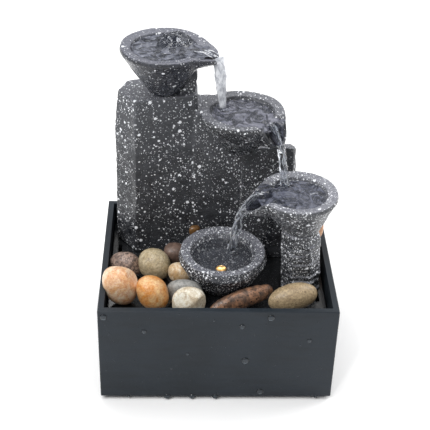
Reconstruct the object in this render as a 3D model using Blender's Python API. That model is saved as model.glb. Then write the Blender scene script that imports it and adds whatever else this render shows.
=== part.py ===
"""A tabletop cascade fountain: an open square basin on four feet, a lift-out rockery of cast stone with four
bowls that spill into each other, a small submersible pump in the sump below the false floor, a lamp in the
lowest bowl and loose pebbles on the false floor.

Units are metres. +Z is up, +X is to the right and -Y is the front. The origin is the middle of the footprint
on the surface that the feet stand on.
"""

import math

import bmesh
import bpy
from mathutils import Euler, Matrix, Vector, noise

# Clearances
GAP = 0.0003  # between pieces that touch
RUNNING = 0.0001  # round a turning shaft
DECK_PLAY = 0.0010  # round the false floor
LEAD_PLAY = 0.0005  # round a lead, in its hole or above the floor it lies on

# Basin
BASIN_WIDTH = 0.170
BASIN_DEPTH = 0.142
BASIN_HEIGHT = 0.080
BASIN_WALL = 0.0044
BASIN_FLOOR = 0.0040
RIM_EASE = 0.0006
FOOT_HEIGHT = 0.0030
FOOT_RADIUS = 0.0060
FOOT_INSET = 0.0130
POST_SIDE = 0.0080

# False floor that carries the rockery
DECK_DROP = 0.0170  # from the basin's rim down to its top
DECK_THICKNESS = 0.0030
DRAIN_LENGTH = 0.0120
DRAIN_WIDTH = 0.0030

# Cast rockery: heights are above the false floor
SHELL_WALL = 0.0050
TOWER_HEIGHT = 0.1300
STEP_HEIGHT = 0.1180
SHOULDER_FRONT = 0.0940
SHOULDER_BACK = 0.0760
NECK_HEIGHT = 0.1530
PILLAR_HEIGHT = 0.0505
TOP_RIM, SECOND_RIM, THIRD_RIM, LOWEST_RIM = 0.1690, 0.1312, 0.0836, 0.0294
TOP_RADIUS, SECOND_RADIUS, THIRD_RADIUS, LOWEST_RADIUS = 0.0316, 0.0308, 0.0290, 0.0319
TOP_CENTRE = (-0.0398, 0.0380)
SECOND_CENTRE = (0.0158, 0.0140)
THIRD_CENTRE = (0.0557, -0.0180)
LOWEST_CENTRE = (0.0041, -0.0140)
RIM_WIDTH = 0.0075
RIM_EDGE = 0.0030
LIP_THICKNESS = 0.0032
POOL_DEPTH = 0.0130

# Riser hose and the outlet that bubbles in the top bowl
HOSE_X, HOSE_Y = -0.0360, 0.0450
HOSE_BORE = 0.0046
HOSE_WALL = 0.0009
OUTLET_RADIUS = 0.0036

# Pump: its shaft runs along X, and the intake is at its +X end
PUMP_LENGTH = 0.0360
PUMP_WIDTH = 0.0280
PUMP_HEIGHT = 0.0300
PUMP_WALL = 0.0015
CUP_HEIGHT = 0.0040
CUP_RADIUS = 0.0050
WELL_RADIUS = 0.0063
WELL_DEPTH = 0.0215
MAGNET_RADIUS = 0.0053
SHAFT_RADIUS = 0.0010
CHAMBER_RADIUS = 0.0110
CHAMBER_LIP = 0.0004  # past the nozzle's sides
IMPELLER_RADIUS = 0.0095
IMPELLER_BLADES = 6
NOZZLE_OFFSET = 0.0060
NOZZLE_PLAY = 0.0004  # round the nozzle, inside the hose
NOZZLE_WALL = 0.0012
NOZZLE_RISE = 0.0110  # above the pump's body
STRAINER_LENGTH = 0.0105

# Lamp in the floor of the lowest bowl
LAMP_X, LAMP_Y = 0.0030, -0.0190
LENS_RADIUS = 0.0040
LAMP_FLANGE = 0.0060

# Leads
LEAD_RADIUS = 0.0013
GLAND_X = -0.0560
GLAND_RISE = 0.0040  # above the pump's body
GLAND_RADIUS = 0.0042
PLUG_X, PLUG_Y = 0.0180, 0.0080

# Worked out from the above
BASIN_BASE = FOOT_HEIGHT
SUMP_FLOOR = BASIN_BASE + BASIN_FLOOR
BASIN_TOP = BASIN_BASE + BASIN_HEIGHT
DECK_TOP = BASIN_TOP - DECK_DROP
DECK_BASE = DECK_TOP - DECK_THICKNESS
INNER_X = BASIN_WIDTH / 2 - BASIN_WALL
INNER_Y = BASIN_DEPTH / 2 - BASIN_WALL
ROCK_BASE = DECK_TOP + GAP
HOSE_RADIUS = HOSE_BORE + HOSE_WALL
PUMP_BASE = SUMP_FLOOR + CUP_HEIGHT
PUMP_TOP = PUMP_BASE + PUMP_HEIGHT
PUMP_AXIS_Z = PUMP_BASE + PUMP_HEIGHT / 2
PUMP_AXIS_Y = HOSE_Y - NOZZLE_OFFSET
NOZZLE_RADIUS = HOSE_BORE - NOZZLE_PLAY
NOZZLE_BORE = NOZZLE_RADIUS - NOZZLE_WALL
NOZZLE_TOP = PUMP_TOP + NOZZLE_RISE
CHAMBER_WIDTH = 2 * (NOZZLE_RADIUS + CHAMBER_LIP)
CHAMBER_X = HOSE_X - CHAMBER_WIDTH / 2
GLAND_Z = PUMP_TOP + GLAND_RISE
PUMP_FRONT = CHAMBER_X - GAP
PUMP_REAR = PUMP_FRONT - PUMP_LENGTH
STRAINER_X = CHAMBER_X + CHAMBER_WIDTH + GAP


def clear_scene():
    for obj in list(bpy.data.objects):
        bpy.data.objects.remove(obj, do_unlink=True)


def material(name, colour, roughness, metallic=0.0, alpha=1.0):
    made = bpy.data.materials.new(name)
    made.use_nodes = True
    shader = made.node_tree.nodes["Principled BSDF"]
    shader.inputs["Base Color"].default_value = (*colour, 1.0)
    shader.inputs["Roughness"].default_value = roughness
    shader.inputs["Metallic"].default_value = metallic
    shader.inputs["Alpha"].default_value = alpha
    return made


def finish(bm, name, mat, smooth_angle=40):
    """Turns a bmesh into a named object with its own material."""
    bmesh.ops.recalc_face_normals(bm, faces=bm.faces)
    mesh = bpy.data.meshes.new(name)
    bm.to_mesh(mesh)
    bm.free()
    mesh.shade_smooth()
    mesh.set_sharp_from_angle(angle=math.radians(smooth_angle))
    obj = bpy.data.objects.new(name, mesh)
    bpy.context.scene.collection.objects.link(obj)
    if mat:
        mesh.materials.append(mat)
    return obj


def helper(obj):
    """A cutter or a block that another piece takes in."""
    obj.hide_render = True
    obj.display_type = "WIRE"
    return obj


def combine(obj, other, operation):
    step = obj.modifiers.new(f"{operation}_{other.name}", "BOOLEAN")
    step.operation = operation
    step.solver = "EXACT"
    step.object = helper(other)


def cut(obj, *cutters):
    for cutter in cutters:
        combine(obj, cutter, "DIFFERENCE")


def join(obj, *others):
    for other in others:
        combine(obj, other, "UNION")


def box(name, low, high, mat=None, ease=0.0):
    bm = bmesh.new()
    bmesh.ops.create_cube(bm, size=1.0)
    size = [h - l for l, h in zip(low, high)]
    middle = [(h + l) / 2 for l, h in zip(low, high)]
    bmesh.ops.scale(bm, vec=size, verts=bm.verts)
    bmesh.ops.translate(bm, vec=middle, verts=bm.verts)
    if ease:
        bmesh.ops.bevel(bm, geom=bm.edges[:], offset=ease, segments=1, affect="EDGES")
    return finish(bm, name, mat)


def turned(name, profile, segments, mat=None, axis="Z", origin=(0, 0, 0)):
    """A solid turned about an axis through origin. profile holds (radius, height) points; a radius of 0 is a
    pole, and a profile with no pole closes on itself as a ring."""
    bm = bmesh.new()
    rows = []
    for radius, height in profile:
        count = 1 if radius == 0 else segments
        rows.append([
            bm.verts.new((radius * math.cos(2 * math.pi * i / segments),
                          radius * math.sin(2 * math.pi * i / segments), height))
            for i in range(count)
        ])
    if profile[0][0] and profile[-1][0]:
        rows.append(rows[0])
    for lower, upper in zip(rows, rows[1:]):
        for i in range(segments):
            j = (i + 1) % segments
            corners = [lower[i % len(lower)], lower[j % len(lower)], upper[j % len(upper)], upper[i % len(upper)]]
            bm.faces.new(list(dict.fromkeys(corners)))
    turn = {"Z": Matrix(), "X": Matrix.Rotation(math.pi / 2, 4, "Y"), "Y": Matrix.Rotation(-math.pi / 2, 4, "X")}
    bmesh.ops.transform(bm, matrix=Matrix.Translation(origin) @ turn[axis], verts=bm.verts)
    return finish(bm, name, mat)


def rod(name, radius, start, end, origin, axis="Z", segments=24, mat=None):
    return turned(name, [(0, start), (radius, start), (radius, end), (0, end)], segments, mat, axis, origin)


def pipe(name, outer, bore, start, end, origin, axis="Z", segments=24, mat=None):
    ring = [(outer, start), (outer, end), (bore, end), (bore, start)]
    return turned(name, ring, segments, mat, axis, origin)


def tube_along(name, points, radius, mat):
    """A lead along a smooth curve through its route's points."""
    route = [Vector(p) for p in points]
    ends = [route[0] * 2 - route[1]] + route + [route[-1] * 2 - route[-2]]
    path = []
    for a, b, c, d in zip(ends, ends[1:], ends[2:], ends[3:]):
        steps = max(2, round((c - b).length / (5 * radius)))
        for k in range(steps):
            t = k / steps
            path.append(0.5 * ((2 * b) + (c - a) * t + (2 * a - 5 * b + 4 * c - d) * t**2
                               + (3 * b - a - 3 * c + d) * t**3))
    path.append(route[-1])
    curve = bpy.data.curves.new(name, "CURVE")
    curve.dimensions = "3D"
    curve.bevel_depth = radius
    curve.bevel_resolution = 2
    curve.use_fill_caps = True
    spline = curve.splines.new("POLY")
    spline.points.add(len(path) - 1)
    for point, place in zip(spline.points, path):
        point.co = (*place, 1.0)
    obj = bpy.data.objects.new(name, curve)
    bpy.context.scene.collection.objects.link(obj)
    curve.materials.append(mat)
    return obj


def hung_on(parent_name, place, pieces):
    """Parents the pieces to an empty on their joint's axis, where they stay in place."""
    empty = bpy.data.objects.new(parent_name, None)
    empty.location = place
    bpy.context.scene.collection.objects.link(empty)
    for piece in pieces:
        piece.parent = empty
        piece.location = piece.location - Vector(place)
    return empty


# ---- basin ------------------------------------------------------------------------------------------------

def build_basin(slate, rubber):
    basin = box("basin", (-BASIN_WIDTH / 2, -BASIN_DEPTH / 2, BASIN_BASE),
                (BASIN_WIDTH / 2, BASIN_DEPTH / 2, BASIN_TOP), slate, RIM_EASE)
    cut(basin, box("sump_cutter", (-INNER_X, -INNER_Y, SUMP_FLOOR), (INNER_X, INNER_Y, BASIN_TOP + 0.01)))
    sunk = BASIN_WALL / 2
    post_top = DECK_BASE - GAP
    for side_x in (-1, 1):
        for side_y in (-1, 1):
            x = sorted((side_x * (INNER_X - POST_SIDE), side_x * (INNER_X + sunk)))
            y = sorted((side_y * (INNER_Y - POST_SIDE), side_y * (INNER_Y + sunk)))
            join(basin, box(f"post_{side_x}_{side_y}", (x[0], y[0], SUMP_FLOOR - BASIN_FLOOR / 2),
                            (x[1], y[1], post_top)))
            name = "foot_" + ("front_" if side_y < 0 else "rear_") + ("left" if side_x < 0 else "right")
            centre = (side_x * (BASIN_WIDTH / 2 - FOOT_INSET), side_y * (BASIN_DEPTH / 2 - FOOT_INSET), 0)
            top = FOOT_HEIGHT - GAP
            turned(name, [(0, 0), (FOOT_RADIUS - 0.0006, 0), (FOOT_RADIUS, 0.0006), (FOOT_RADIUS, top), (0, top)],
                   24, rubber, origin=centre)
    middle = (GLAND_X, BASIN_DEPTH / 2, GLAND_Z)
    cut(basin, rod("gland_hole", GLAND_RADIUS, -0.02, 0.02, middle, "Y"))
    body = GLAND_RADIUS - GAP
    flange = GLAND_RADIUS + 0.0022
    inside = -BASIN_WALL - GAP
    bore = LEAD_RADIUS + LEAD_PLAY
    profile = [(bore, inside - 0.0016), (flange, inside - 0.0016), (flange, inside), (body, inside),
               (body, -0.0007), (bore, -0.0007)]
    turned("cable_gland", profile[::-1], 24, rubber, "Y", middle)


# ---- false floor ------------------------------------------------------------------------------------------

def build_deck(plastic):
    half_x, half_y = INNER_X - DECK_PLAY, INNER_Y - DECK_PLAY
    deck = box("deck", (-half_x, -half_y, DECK_BASE), (half_x, half_y, DECK_TOP), plastic)
    over = (DECK_BASE - 0.01, DECK_TOP + 0.01)
    cut(deck, rod("hose_hole", HOSE_RADIUS + 0.0010, *over, (HOSE_X, HOSE_Y, 0)))
    cut(deck, rod("lamp_lead_hole", LEAD_RADIUS + 0.0012, *over, (LAMP_X, LAMP_Y, 0)))
    edge = half_x - 0.0055
    for n in range(6):
        y = half_y * (-0.78 + 0.30 * n)
        for side in (-1, 1):
            x = side * edge
            cut(deck, box(f"drain_{n}_{side}", (x - DRAIN_WIDTH / 2, y - DRAIN_LENGTH / 2, over[0]),
                          (x + DRAIN_WIDTH / 2, y + DRAIN_LENGTH / 2, over[1])))
    return deck


# ---- cast rockery -----------------------------------------------------------------------------------------

def rock_block(name, low_outline, high_outline, base, top, mat=None, levels=7, splits=3, rough=0.0012, seed=0.0):
    """A loft between two outlines with the same corners, its faces broken like split stone. top is a height, or
    a function of y."""
    def outline(points):
        made = []
        for a, b in zip(points, points[1:] + points[:1]):
            made += [(a[0] + (b[0] - a[0]) * k / splits, a[1] + (b[1] - a[1]) * k / splits)
                     for k in range(splits)]
        return made

    low, high = outline(low_outline), outline(high_outline)
    centre_x = sum(p[0] for p in low) / len(low)
    centre_y = sum(p[1] for p in low) / len(low)
    bm = bmesh.new()
    rings = []
    for level in range(levels + 1):
        t = level / levels
        ring = []
        for (lx, ly), (hx, hy) in zip(low, high):
            x, y = lx + (hx - lx) * t, ly + (hy - ly) * t
            away = Vector((x - centre_x, y - centre_y, 0)).normalized()
            shrink = 0.0012 if level == levels else 0.0
            push = rough * noise.noise(Vector((x * 60 + seed, y * 60, level * 1.7))) - shrink
            height = base + ((top(y) if callable(top) else top) - base) * t
            ring.append(bm.verts.new((x + away.x * push, y + away.y * push, height)))
        rings.append(ring)
    for lower, upper in zip(rings, rings[1:]):
        for i in range(len(lower)):
            j = (i + 1) % len(lower)
            bm.faces.new((lower[i], lower[j], upper[j], upper[i]))
    bm.faces.new(rings[0][::-1])
    bm.faces.new(rings[-1])
    bmesh.ops.triangulate(bm, faces=bm.faces)
    return finish(bm, name, mat, 25)


def spread(angle, centre, flat, fade):
    """1 within flat degrees of centre, easing to 0 at fade degrees."""
    off = abs((angle - centre + 180) % 360 - 180)
    t = min(1.0, max(0.0, (fade - off) / (fade - flat)))
    return t * t * (3 - 2 * t)


class Bowl:
    """A cast bowl with a broad rim that runs out to a pouring lip on one side."""

    def __init__(self, centre, radius, rim, foot_centre, foot_radius, foot, lip_angle, lip_reach, lip_drop,
                 lip_fade, bulge=0.0):
        self.centre, self.radius, self.rim = centre, radius, DECK_TOP + rim
        self.foot_centre, self.foot_radius, self.foot = foot_centre, foot_radius, foot
        self.lip_angle, self.lip_reach, self.lip_drop, self.lip_fade = lip_angle, lip_reach, lip_drop, lip_fade
        self.bulge = bulge

    def angles(self):
        """Even steps all round, with closer ones at the lip."""
        even = [i * 10.0 for i in range(36)]
        if not self.lip_reach:
            return even
        near = [self.lip_angle + d for d in (-24, -17, -12, -8.5, -5, 0, 5, 8.5, 12, 17, 24)]
        kept = [a for a in even if abs((a - self.lip_angle + 180) % 360 - 180) > 27]
        return sorted([a % 360 for a in near] + kept)

    def outline(self, angle):
        """(outer radius, height, share of the lip) of the rim at an angle. The lip's middle is a channel."""
        lip = spread(angle, self.lip_angle, 9, self.lip_fade) if self.lip_reach else 0.0
        notch = spread(angle, self.lip_angle, 5, 12) if self.lip_reach else 0.0
        return self.radius + self.lip_reach * lip, self.rim - self.lip_drop * lip - 0.0022 * notch, lip

    def stations(self, angle):
        """(radius, height) from the foot's edge, up the outside, over the rim and down to the pool's floor."""
        radius, height, lip = self.outline(angle)
        edge = height - RIM_EDGE
        slope = self.radius - self.foot_radius
        fall = self.rim - RIM_EDGE - self.foot
        pool = self.rim - POOL_DEPTH
        inner = self.radius - RIM_WIDTH
        brink = radius - 0.0008
        rows = [(self.foot_radius, self.foot)]
        root = edge - LIP_THICKNESS * lip
        for share in (0.30, 0.60, 0.88):
            up = fall * share
            if up > root - self.foot - 0.0010:
                up = (root - self.foot) * share
            rows.append((self.foot_radius + slope * up / fall + self.bulge, self.foot + up))
        rows += [(radius, edge), (brink, height)]
        floor_high = max(pool + 0.0030, height + 0.0006)
        rows += [(inner + (radius - self.radius) * 0.45, height - 0.0010 * (1 - lip)),
                 (inner - 0.0022, min(self.rim - 0.0050, floor_high) if lip > 0.05 else self.rim - 0.0050),
                 (inner * 0.72, pool + 0.0016), (inner * 0.42, pool)]
        return rows

    def centre_at(self, height):
        """The rows' common centre shifts from the foot's to the rim's with height."""
        t = min(1.0, max(0.0, (height - self.foot) / (self.rim - 0.75 * POOL_DEPTH - self.foot)))
        return (self.foot_centre[0] + (self.centre[0] - self.foot_centre[0]) * t,
                self.foot_centre[1] + (self.centre[1] - self.foot_centre[1]) * t)

    def shape(self, name, mat=None, swell=None):
        """The bowl, or with swell a solid plug that clears it all round by that much, to cut its seat."""
        bm = bmesh.new()
        columns = []
        for angle in self.angles():
            rows = self.stations(angle)
            if swell:
                rows = [(r + swell, z) for r, z in rows[:5]] + [(rows[4][0] + swell, self.rim + 0.03)]
                rows[0] = (rows[0][0], rows[0][1] - swell)
            turn = math.radians(angle)
            column = []
            for n, (r, z) in enumerate(rows):
                cx, cy = self.centre if n > 4 else self.centre_at(z)
                column.append(bm.verts.new((cx + r * math.cos(turn), cy + r * math.sin(turn), z)))
            columns.append(column)
        for a, b in zip(columns, columns[1:] + columns[:1]):
            for n in range(len(a) - 1):
                bm.faces.new((a[n], b[n], b[n + 1], a[n + 1]))
        bm.faces.new([c[0] for c in columns][::-1])
        bm.faces.new([c[-1] for c in columns])
        bmesh.ops.triangulate(bm, faces=bm.faces)
        return finish(bm, name, mat, 35)


def bowls():
    tower_top = DECK_TOP + TOWER_HEIGHT
    return {
        "top_bowl": Bowl(TOP_CENTRE, TOP_RADIUS, TOP_RIM, (TOP_CENTRE[0], TOP_CENTRE[1] + 0.0070), 0.0110,
                         tower_top + GAP, -12, 0.0075, 0.0040, 38),
        "second_bowl": Bowl(SECOND_CENTRE, SECOND_RADIUS, SECOND_RIM,
                            (SECOND_CENTRE[0], SECOND_CENTRE[1] + 0.0080), 0.0110,
                            DECK_TOP + SECOND_RIM - 0.0360, -38, 0.0040, 0.0150, 31),
        "third_bowl": Bowl(THIRD_CENTRE, THIRD_RADIUS, THIRD_RIM,
                           (THIRD_CENTRE[0] + 0.0045, THIRD_CENTRE[1] + 0.0030), 0.0135,
                           DECK_TOP + PILLAR_HEIGHT + GAP, 177, 0.0085, 0.0145, 40),
        "lowest_bowl": Bowl(LOWEST_CENTRE, LOWEST_RADIUS, LOWEST_RIM, LOWEST_CENTRE, 0.0185, ROCK_BASE,
                            0, 0.0, 0.0, 30, bulge=0.0025),
    }


def build_rockery(stone, hose_mat):
    tower_top = DECK_TOP + TOWER_HEIGHT
    made = bowls()
    tower = rock_block(
        "rock_tower",
        [(-0.0616, 0.0243), (-0.0120, 0.0250), (-0.0120, 0.0640), (-0.0640, 0.0640), (-0.0735, 0.0600),
         (-0.0772, 0.0447)],
        [(-0.0603, 0.0244), (-0.0150, 0.0370), (-0.0150, 0.0640), (-0.0600, 0.0640), (-0.0685, 0.0599),
         (-0.0756, 0.0449)],
        ROCK_BASE, tower_top, stone, levels=8)
    step = rock_block("step_block",
                      [(-0.0180, 0.0252), (0.0270, 0.0250), (0.0270, 0.0635), (-0.0180, 0.0635)],
                      [(-0.0180, 0.0300), (0.0240, 0.0290), (0.0240, 0.0635), (-0.0180, 0.0635)],
                      ROCK_BASE, DECK_TOP + STEP_HEIGHT, levels=6, seed=3.0)
    shoulder_fall = (SHOULDER_FRONT - SHOULDER_BACK) / 0.040
    shoulder = rock_block("shoulder_block",
                          [(0.0180, 0.0175), (0.0600, 0.0165), (0.0625, 0.0400), (0.0615, 0.0630),
                           (0.0180, 0.0630)],
                          [(0.0180, 0.0250), (0.0560, 0.0250), (0.0590, 0.0330), (0.0585, 0.0620),
                           (0.0180, 0.0630)],
                          ROCK_BASE, lambda y: DECK_TOP + SHOULDER_FRONT - shoulder_fall * (y - 0.024),
                          levels=6, seed=7.0)
    neck = rock_block("neck_block",
                      [(-0.0520, 0.0400), (-0.0180, 0.0385), (-0.0170, 0.0600), (-0.0520, 0.0600)],
                      [(-0.0500, 0.0420), (-0.0160, 0.0400), (-0.0155, 0.0580), (-0.0500, 0.0590)],
                      tower_top - 0.0060, DECK_TOP + NECK_HEIGHT, levels=3, seed=11.0)
    join(tower, step, shoulder, neck)
    inner = SHELL_WALL
    hollow_top = tower_top - 2.4 * inner
    cut(tower, rock_block("tower_hollow",
                          [(-0.0600 + inner, 0.0245 + inner), (-0.0120, 0.0245 + inner),
                           (-0.0120, 0.0640 - inner), (-0.0735 + inner, 0.0640 - inner),
                           (-0.0765 + inner, 0.0460)],
                          [(-0.0590 + inner, 0.0275 + inner), (-0.0220, 0.0330 + inner),
                           (-0.0220, 0.0635 - inner), (-0.0680 + inner, 0.0620 - inner),
                           (-0.0750 + inner, 0.0460)],
                          ROCK_BASE - 0.01, hollow_top, levels=2, splits=1, rough=0.0))
    cut(tower, rock_block("foot_hollow",
                          [(-0.0140, 0.0250 + inner), (0.0550, 0.0250 + inner), (0.0560, 0.0630 - inner),
                           (-0.0140, 0.0630 - inner)],
                          [(-0.0140, 0.0290 + inner), (0.0500, 0.0290 + inner), (0.0510, 0.0610 - inner),
                           (-0.0140, 0.0610 - inner)],
                          ROCK_BASE - 0.01, DECK_TOP + SHOULDER_BACK - 2.4 * inner, levels=2, splits=1, rough=0.0))
    cut(tower, made["top_bowl"].shape("top_bowl_seat", swell=GAP))
    cut(tower, made["second_bowl"].shape("second_bowl_seat", swell=GAP))
    hose_way = (HOSE_X, HOSE_Y, 0)
    cut(tower, rod("hose_way", HOSE_RADIUS + GAP, hollow_top - 0.01, tower_top + 0.02, hose_way))

    foot_x, foot_y = THIRD_CENTRE[0] + 0.0075, THIRD_CENTRE[1] + 0.0030
    corners = (-22, 18, 62, 105, 150, 195, 240, 292)

    def ring(cx, cy, radius):
        return [(cx + radius * math.cos(math.radians(a)), cy + radius * math.sin(math.radians(a)))
                for a in corners]

    pillar = rock_block("right_pillar", ring(foot_x, foot_y, 0.0152), ring(foot_x - 0.0030, foot_y, 0.0148),
                        ROCK_BASE, DECK_TOP + PILLAR_HEIGHT, stone, levels=6, splits=2, seed=19.0)
    pieces = [tower, pillar]
    for name, bowl in made.items():
        pieces.append(bowl.shape(name, stone))
    top, lowest = pieces[2], pieces[5]
    outlet_base = tower_top + GAP + 0.0200
    cut(top, rod("outlet_bore", OUTLET_RADIUS + GAP, tower_top - 0.01, tower_top + 0.06, hose_way))
    cut(top, rod("hose_socket", HOSE_RADIUS + GAP, tower_top - 0.01, outlet_base, hose_way))
    lamp = (LAMP_X, LAMP_Y, 0)
    pool = DECK_TOP + LOWEST_RIM - POOL_DEPTH
    cut(lowest, rod("lens_bore", LENS_RADIUS + GAP, DECK_TOP - 0.01, pool + 0.01, lamp))
    cut(lowest, rod("lamp_pocket", LAMP_FLANGE + GAP, DECK_TOP - 0.01, pool - 0.0025, lamp))

    pieces.append(pipe("riser_hose", HOSE_RADIUS, HOSE_BORE, NOZZLE_TOP - 0.0080, outlet_base - GAP, hose_way,
                       mat=hose_mat))
    pool_top = DECK_TOP + TOP_RIM - POOL_DEPTH
    pieces.append(turned("bubbler_outlet",
                         [(0.0026, outlet_base - 0.0090), (HOSE_BORE - GAP, outlet_base - 0.0090),
                          (HOSE_BORE - GAP, outlet_base - 0.0010), (OUTLET_RADIUS, outlet_base),
                          (OUTLET_RADIUS, pool_top + 0.0020), (0.0026, pool_top + 0.0020)][::-1],
                         24, hose_mat, origin=hose_way))
    return pieces


# ---- lamp -------------------------------------------------------------------------------------------------

def build_lamp(lens_mat, plastic, board_mat, rubber, lead_mat):
    place = (LAMP_X, LAMP_Y, 0)
    seat = DECK_TOP + LOWEST_RIM - POOL_DEPTH - 0.0025
    lens_base = seat - 0.0020
    lens = turned("lamp_lens",
                  [(0, lens_base), (LENS_RADIUS, lens_base), (LENS_RADIUS, seat + 0.0022),
                   (LENS_RADIUS * 0.6, seat + 0.0034), (0, seat + 0.0038)], 24, lens_mat, origin=place)
    gasket = pipe("lamp_gasket", LAMP_FLANGE, LENS_RADIUS + GAP, seat - 0.0012, seat - GAP, place, mat=rubber)
    top = lens_base - GAP
    base = ROCK_BASE + 0.0010
    wall = 0.0012
    housing = turned("lamp_housing",
                     [(0, base), (LAMP_FLANGE, base), (LAMP_FLANGE, top), (LAMP_FLANGE - wall, top),
                      (LAMP_FLANGE - wall, base + wall), (0, base + wall)], 24, plastic, origin=place)
    cut(housing, rod("lamp_lead_way", LEAD_RADIUS + LEAD_PLAY, base - 0.01, base + 0.005, place))
    board_low = top - 0.0028
    board = rod("lamp_board", LAMP_FLANGE - wall - GAP, board_low, board_low + 0.0010, place, mat=board_mat)
    chip = box("chip_block", (LAMP_X - 0.0013, LAMP_Y - 0.0013, board_low + 0.0005),
               (LAMP_X + 0.0013, LAMP_Y + 0.0013, board_low + 0.0018))
    join(board, chip)
    plug_z = DECK_BASE - 0.0120
    lead = tube_along("lamp_lead",
                      [(LAMP_X, LAMP_Y, board_low - GAP), (LAMP_X, LAMP_Y, DECK_BASE - 0.0020),
                       (LAMP_X + 0.0010, LAMP_Y + 0.0035, DECK_BASE - 0.0070),
                       (LAMP_X + 0.0065, LAMP_Y + 0.0150, DECK_BASE - 0.0080),
                       (PLUG_X - 0.0016, PLUG_Y - 0.0030, DECK_BASE - 0.0068),
                       (PLUG_X, PLUG_Y, plug_z + 0.0048), (PLUG_X, PLUG_Y, plug_z + 0.0030 + LEAD_PLAY)],
                      LEAD_RADIUS, lead_mat)
    plug = turned("lamp_plug",
                  [(0, plug_z - 0.0070), (0.0022, plug_z - 0.0070), (0.0022, plug_z - 0.0010), (0.0036, plug_z),
                   (0.0036, plug_z + 0.0020), (0.0024, plug_z + 0.0030), (0, plug_z + 0.0030)], 20, plastic,
                  origin=(PLUG_X, PLUG_Y, 0))
    return [lens, gasket, housing, board, lead, plug]


def build_supply(plastic, lead_mat):
    """The socket that the lamp's plug lifts out of, on a stem from the sump's floor, and its lead."""
    mouth = DECK_BASE - 0.0120 - 0.0010 - GAP
    socket = turned("lamp_socket",
                    [(0, SUMP_FLOOR + GAP), (0.0050, SUMP_FLOOR + GAP), (0.0050, SUMP_FLOOR + 0.0020),
                     (0.0030, SUMP_FLOOR + 0.0040), (0.0036, mouth - 0.0100), (0.0036, mouth),
                     (0.0022 + GAP, mouth), (0.0022 + GAP, mouth - 0.0080), (0, mouth - 0.0080)], 20, plastic,
                    origin=(PLUG_X, PLUG_Y, 0))
    floor = SUMP_FLOOR + LEAD_RADIUS + LEAD_PLAY
    tube_along("lamp_supply_lead",
               [(PLUG_X, PLUG_Y + 0.0050 + LEAD_RADIUS, floor), (PLUG_X - 0.0030, PLUG_Y + 0.0180, floor),
                (PLUG_X - 0.0160, PLUG_Y + 0.0360, floor), (GLAND_X + 0.0480, INNER_Y - 0.0060, floor),
                (GLAND_X + 0.0330, INNER_Y - 0.0050, floor + 0.0020),
                (GLAND_X + 0.0210, INNER_Y - 0.0050, floor + 0.0140),
                (GLAND_X + 0.0100, INNER_Y - 0.0052, GLAND_Z - 0.0060)], LEAD_RADIUS, lead_mat)
    return socket


# ---- pump -------------------------------------------------------------------------------------------------

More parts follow.
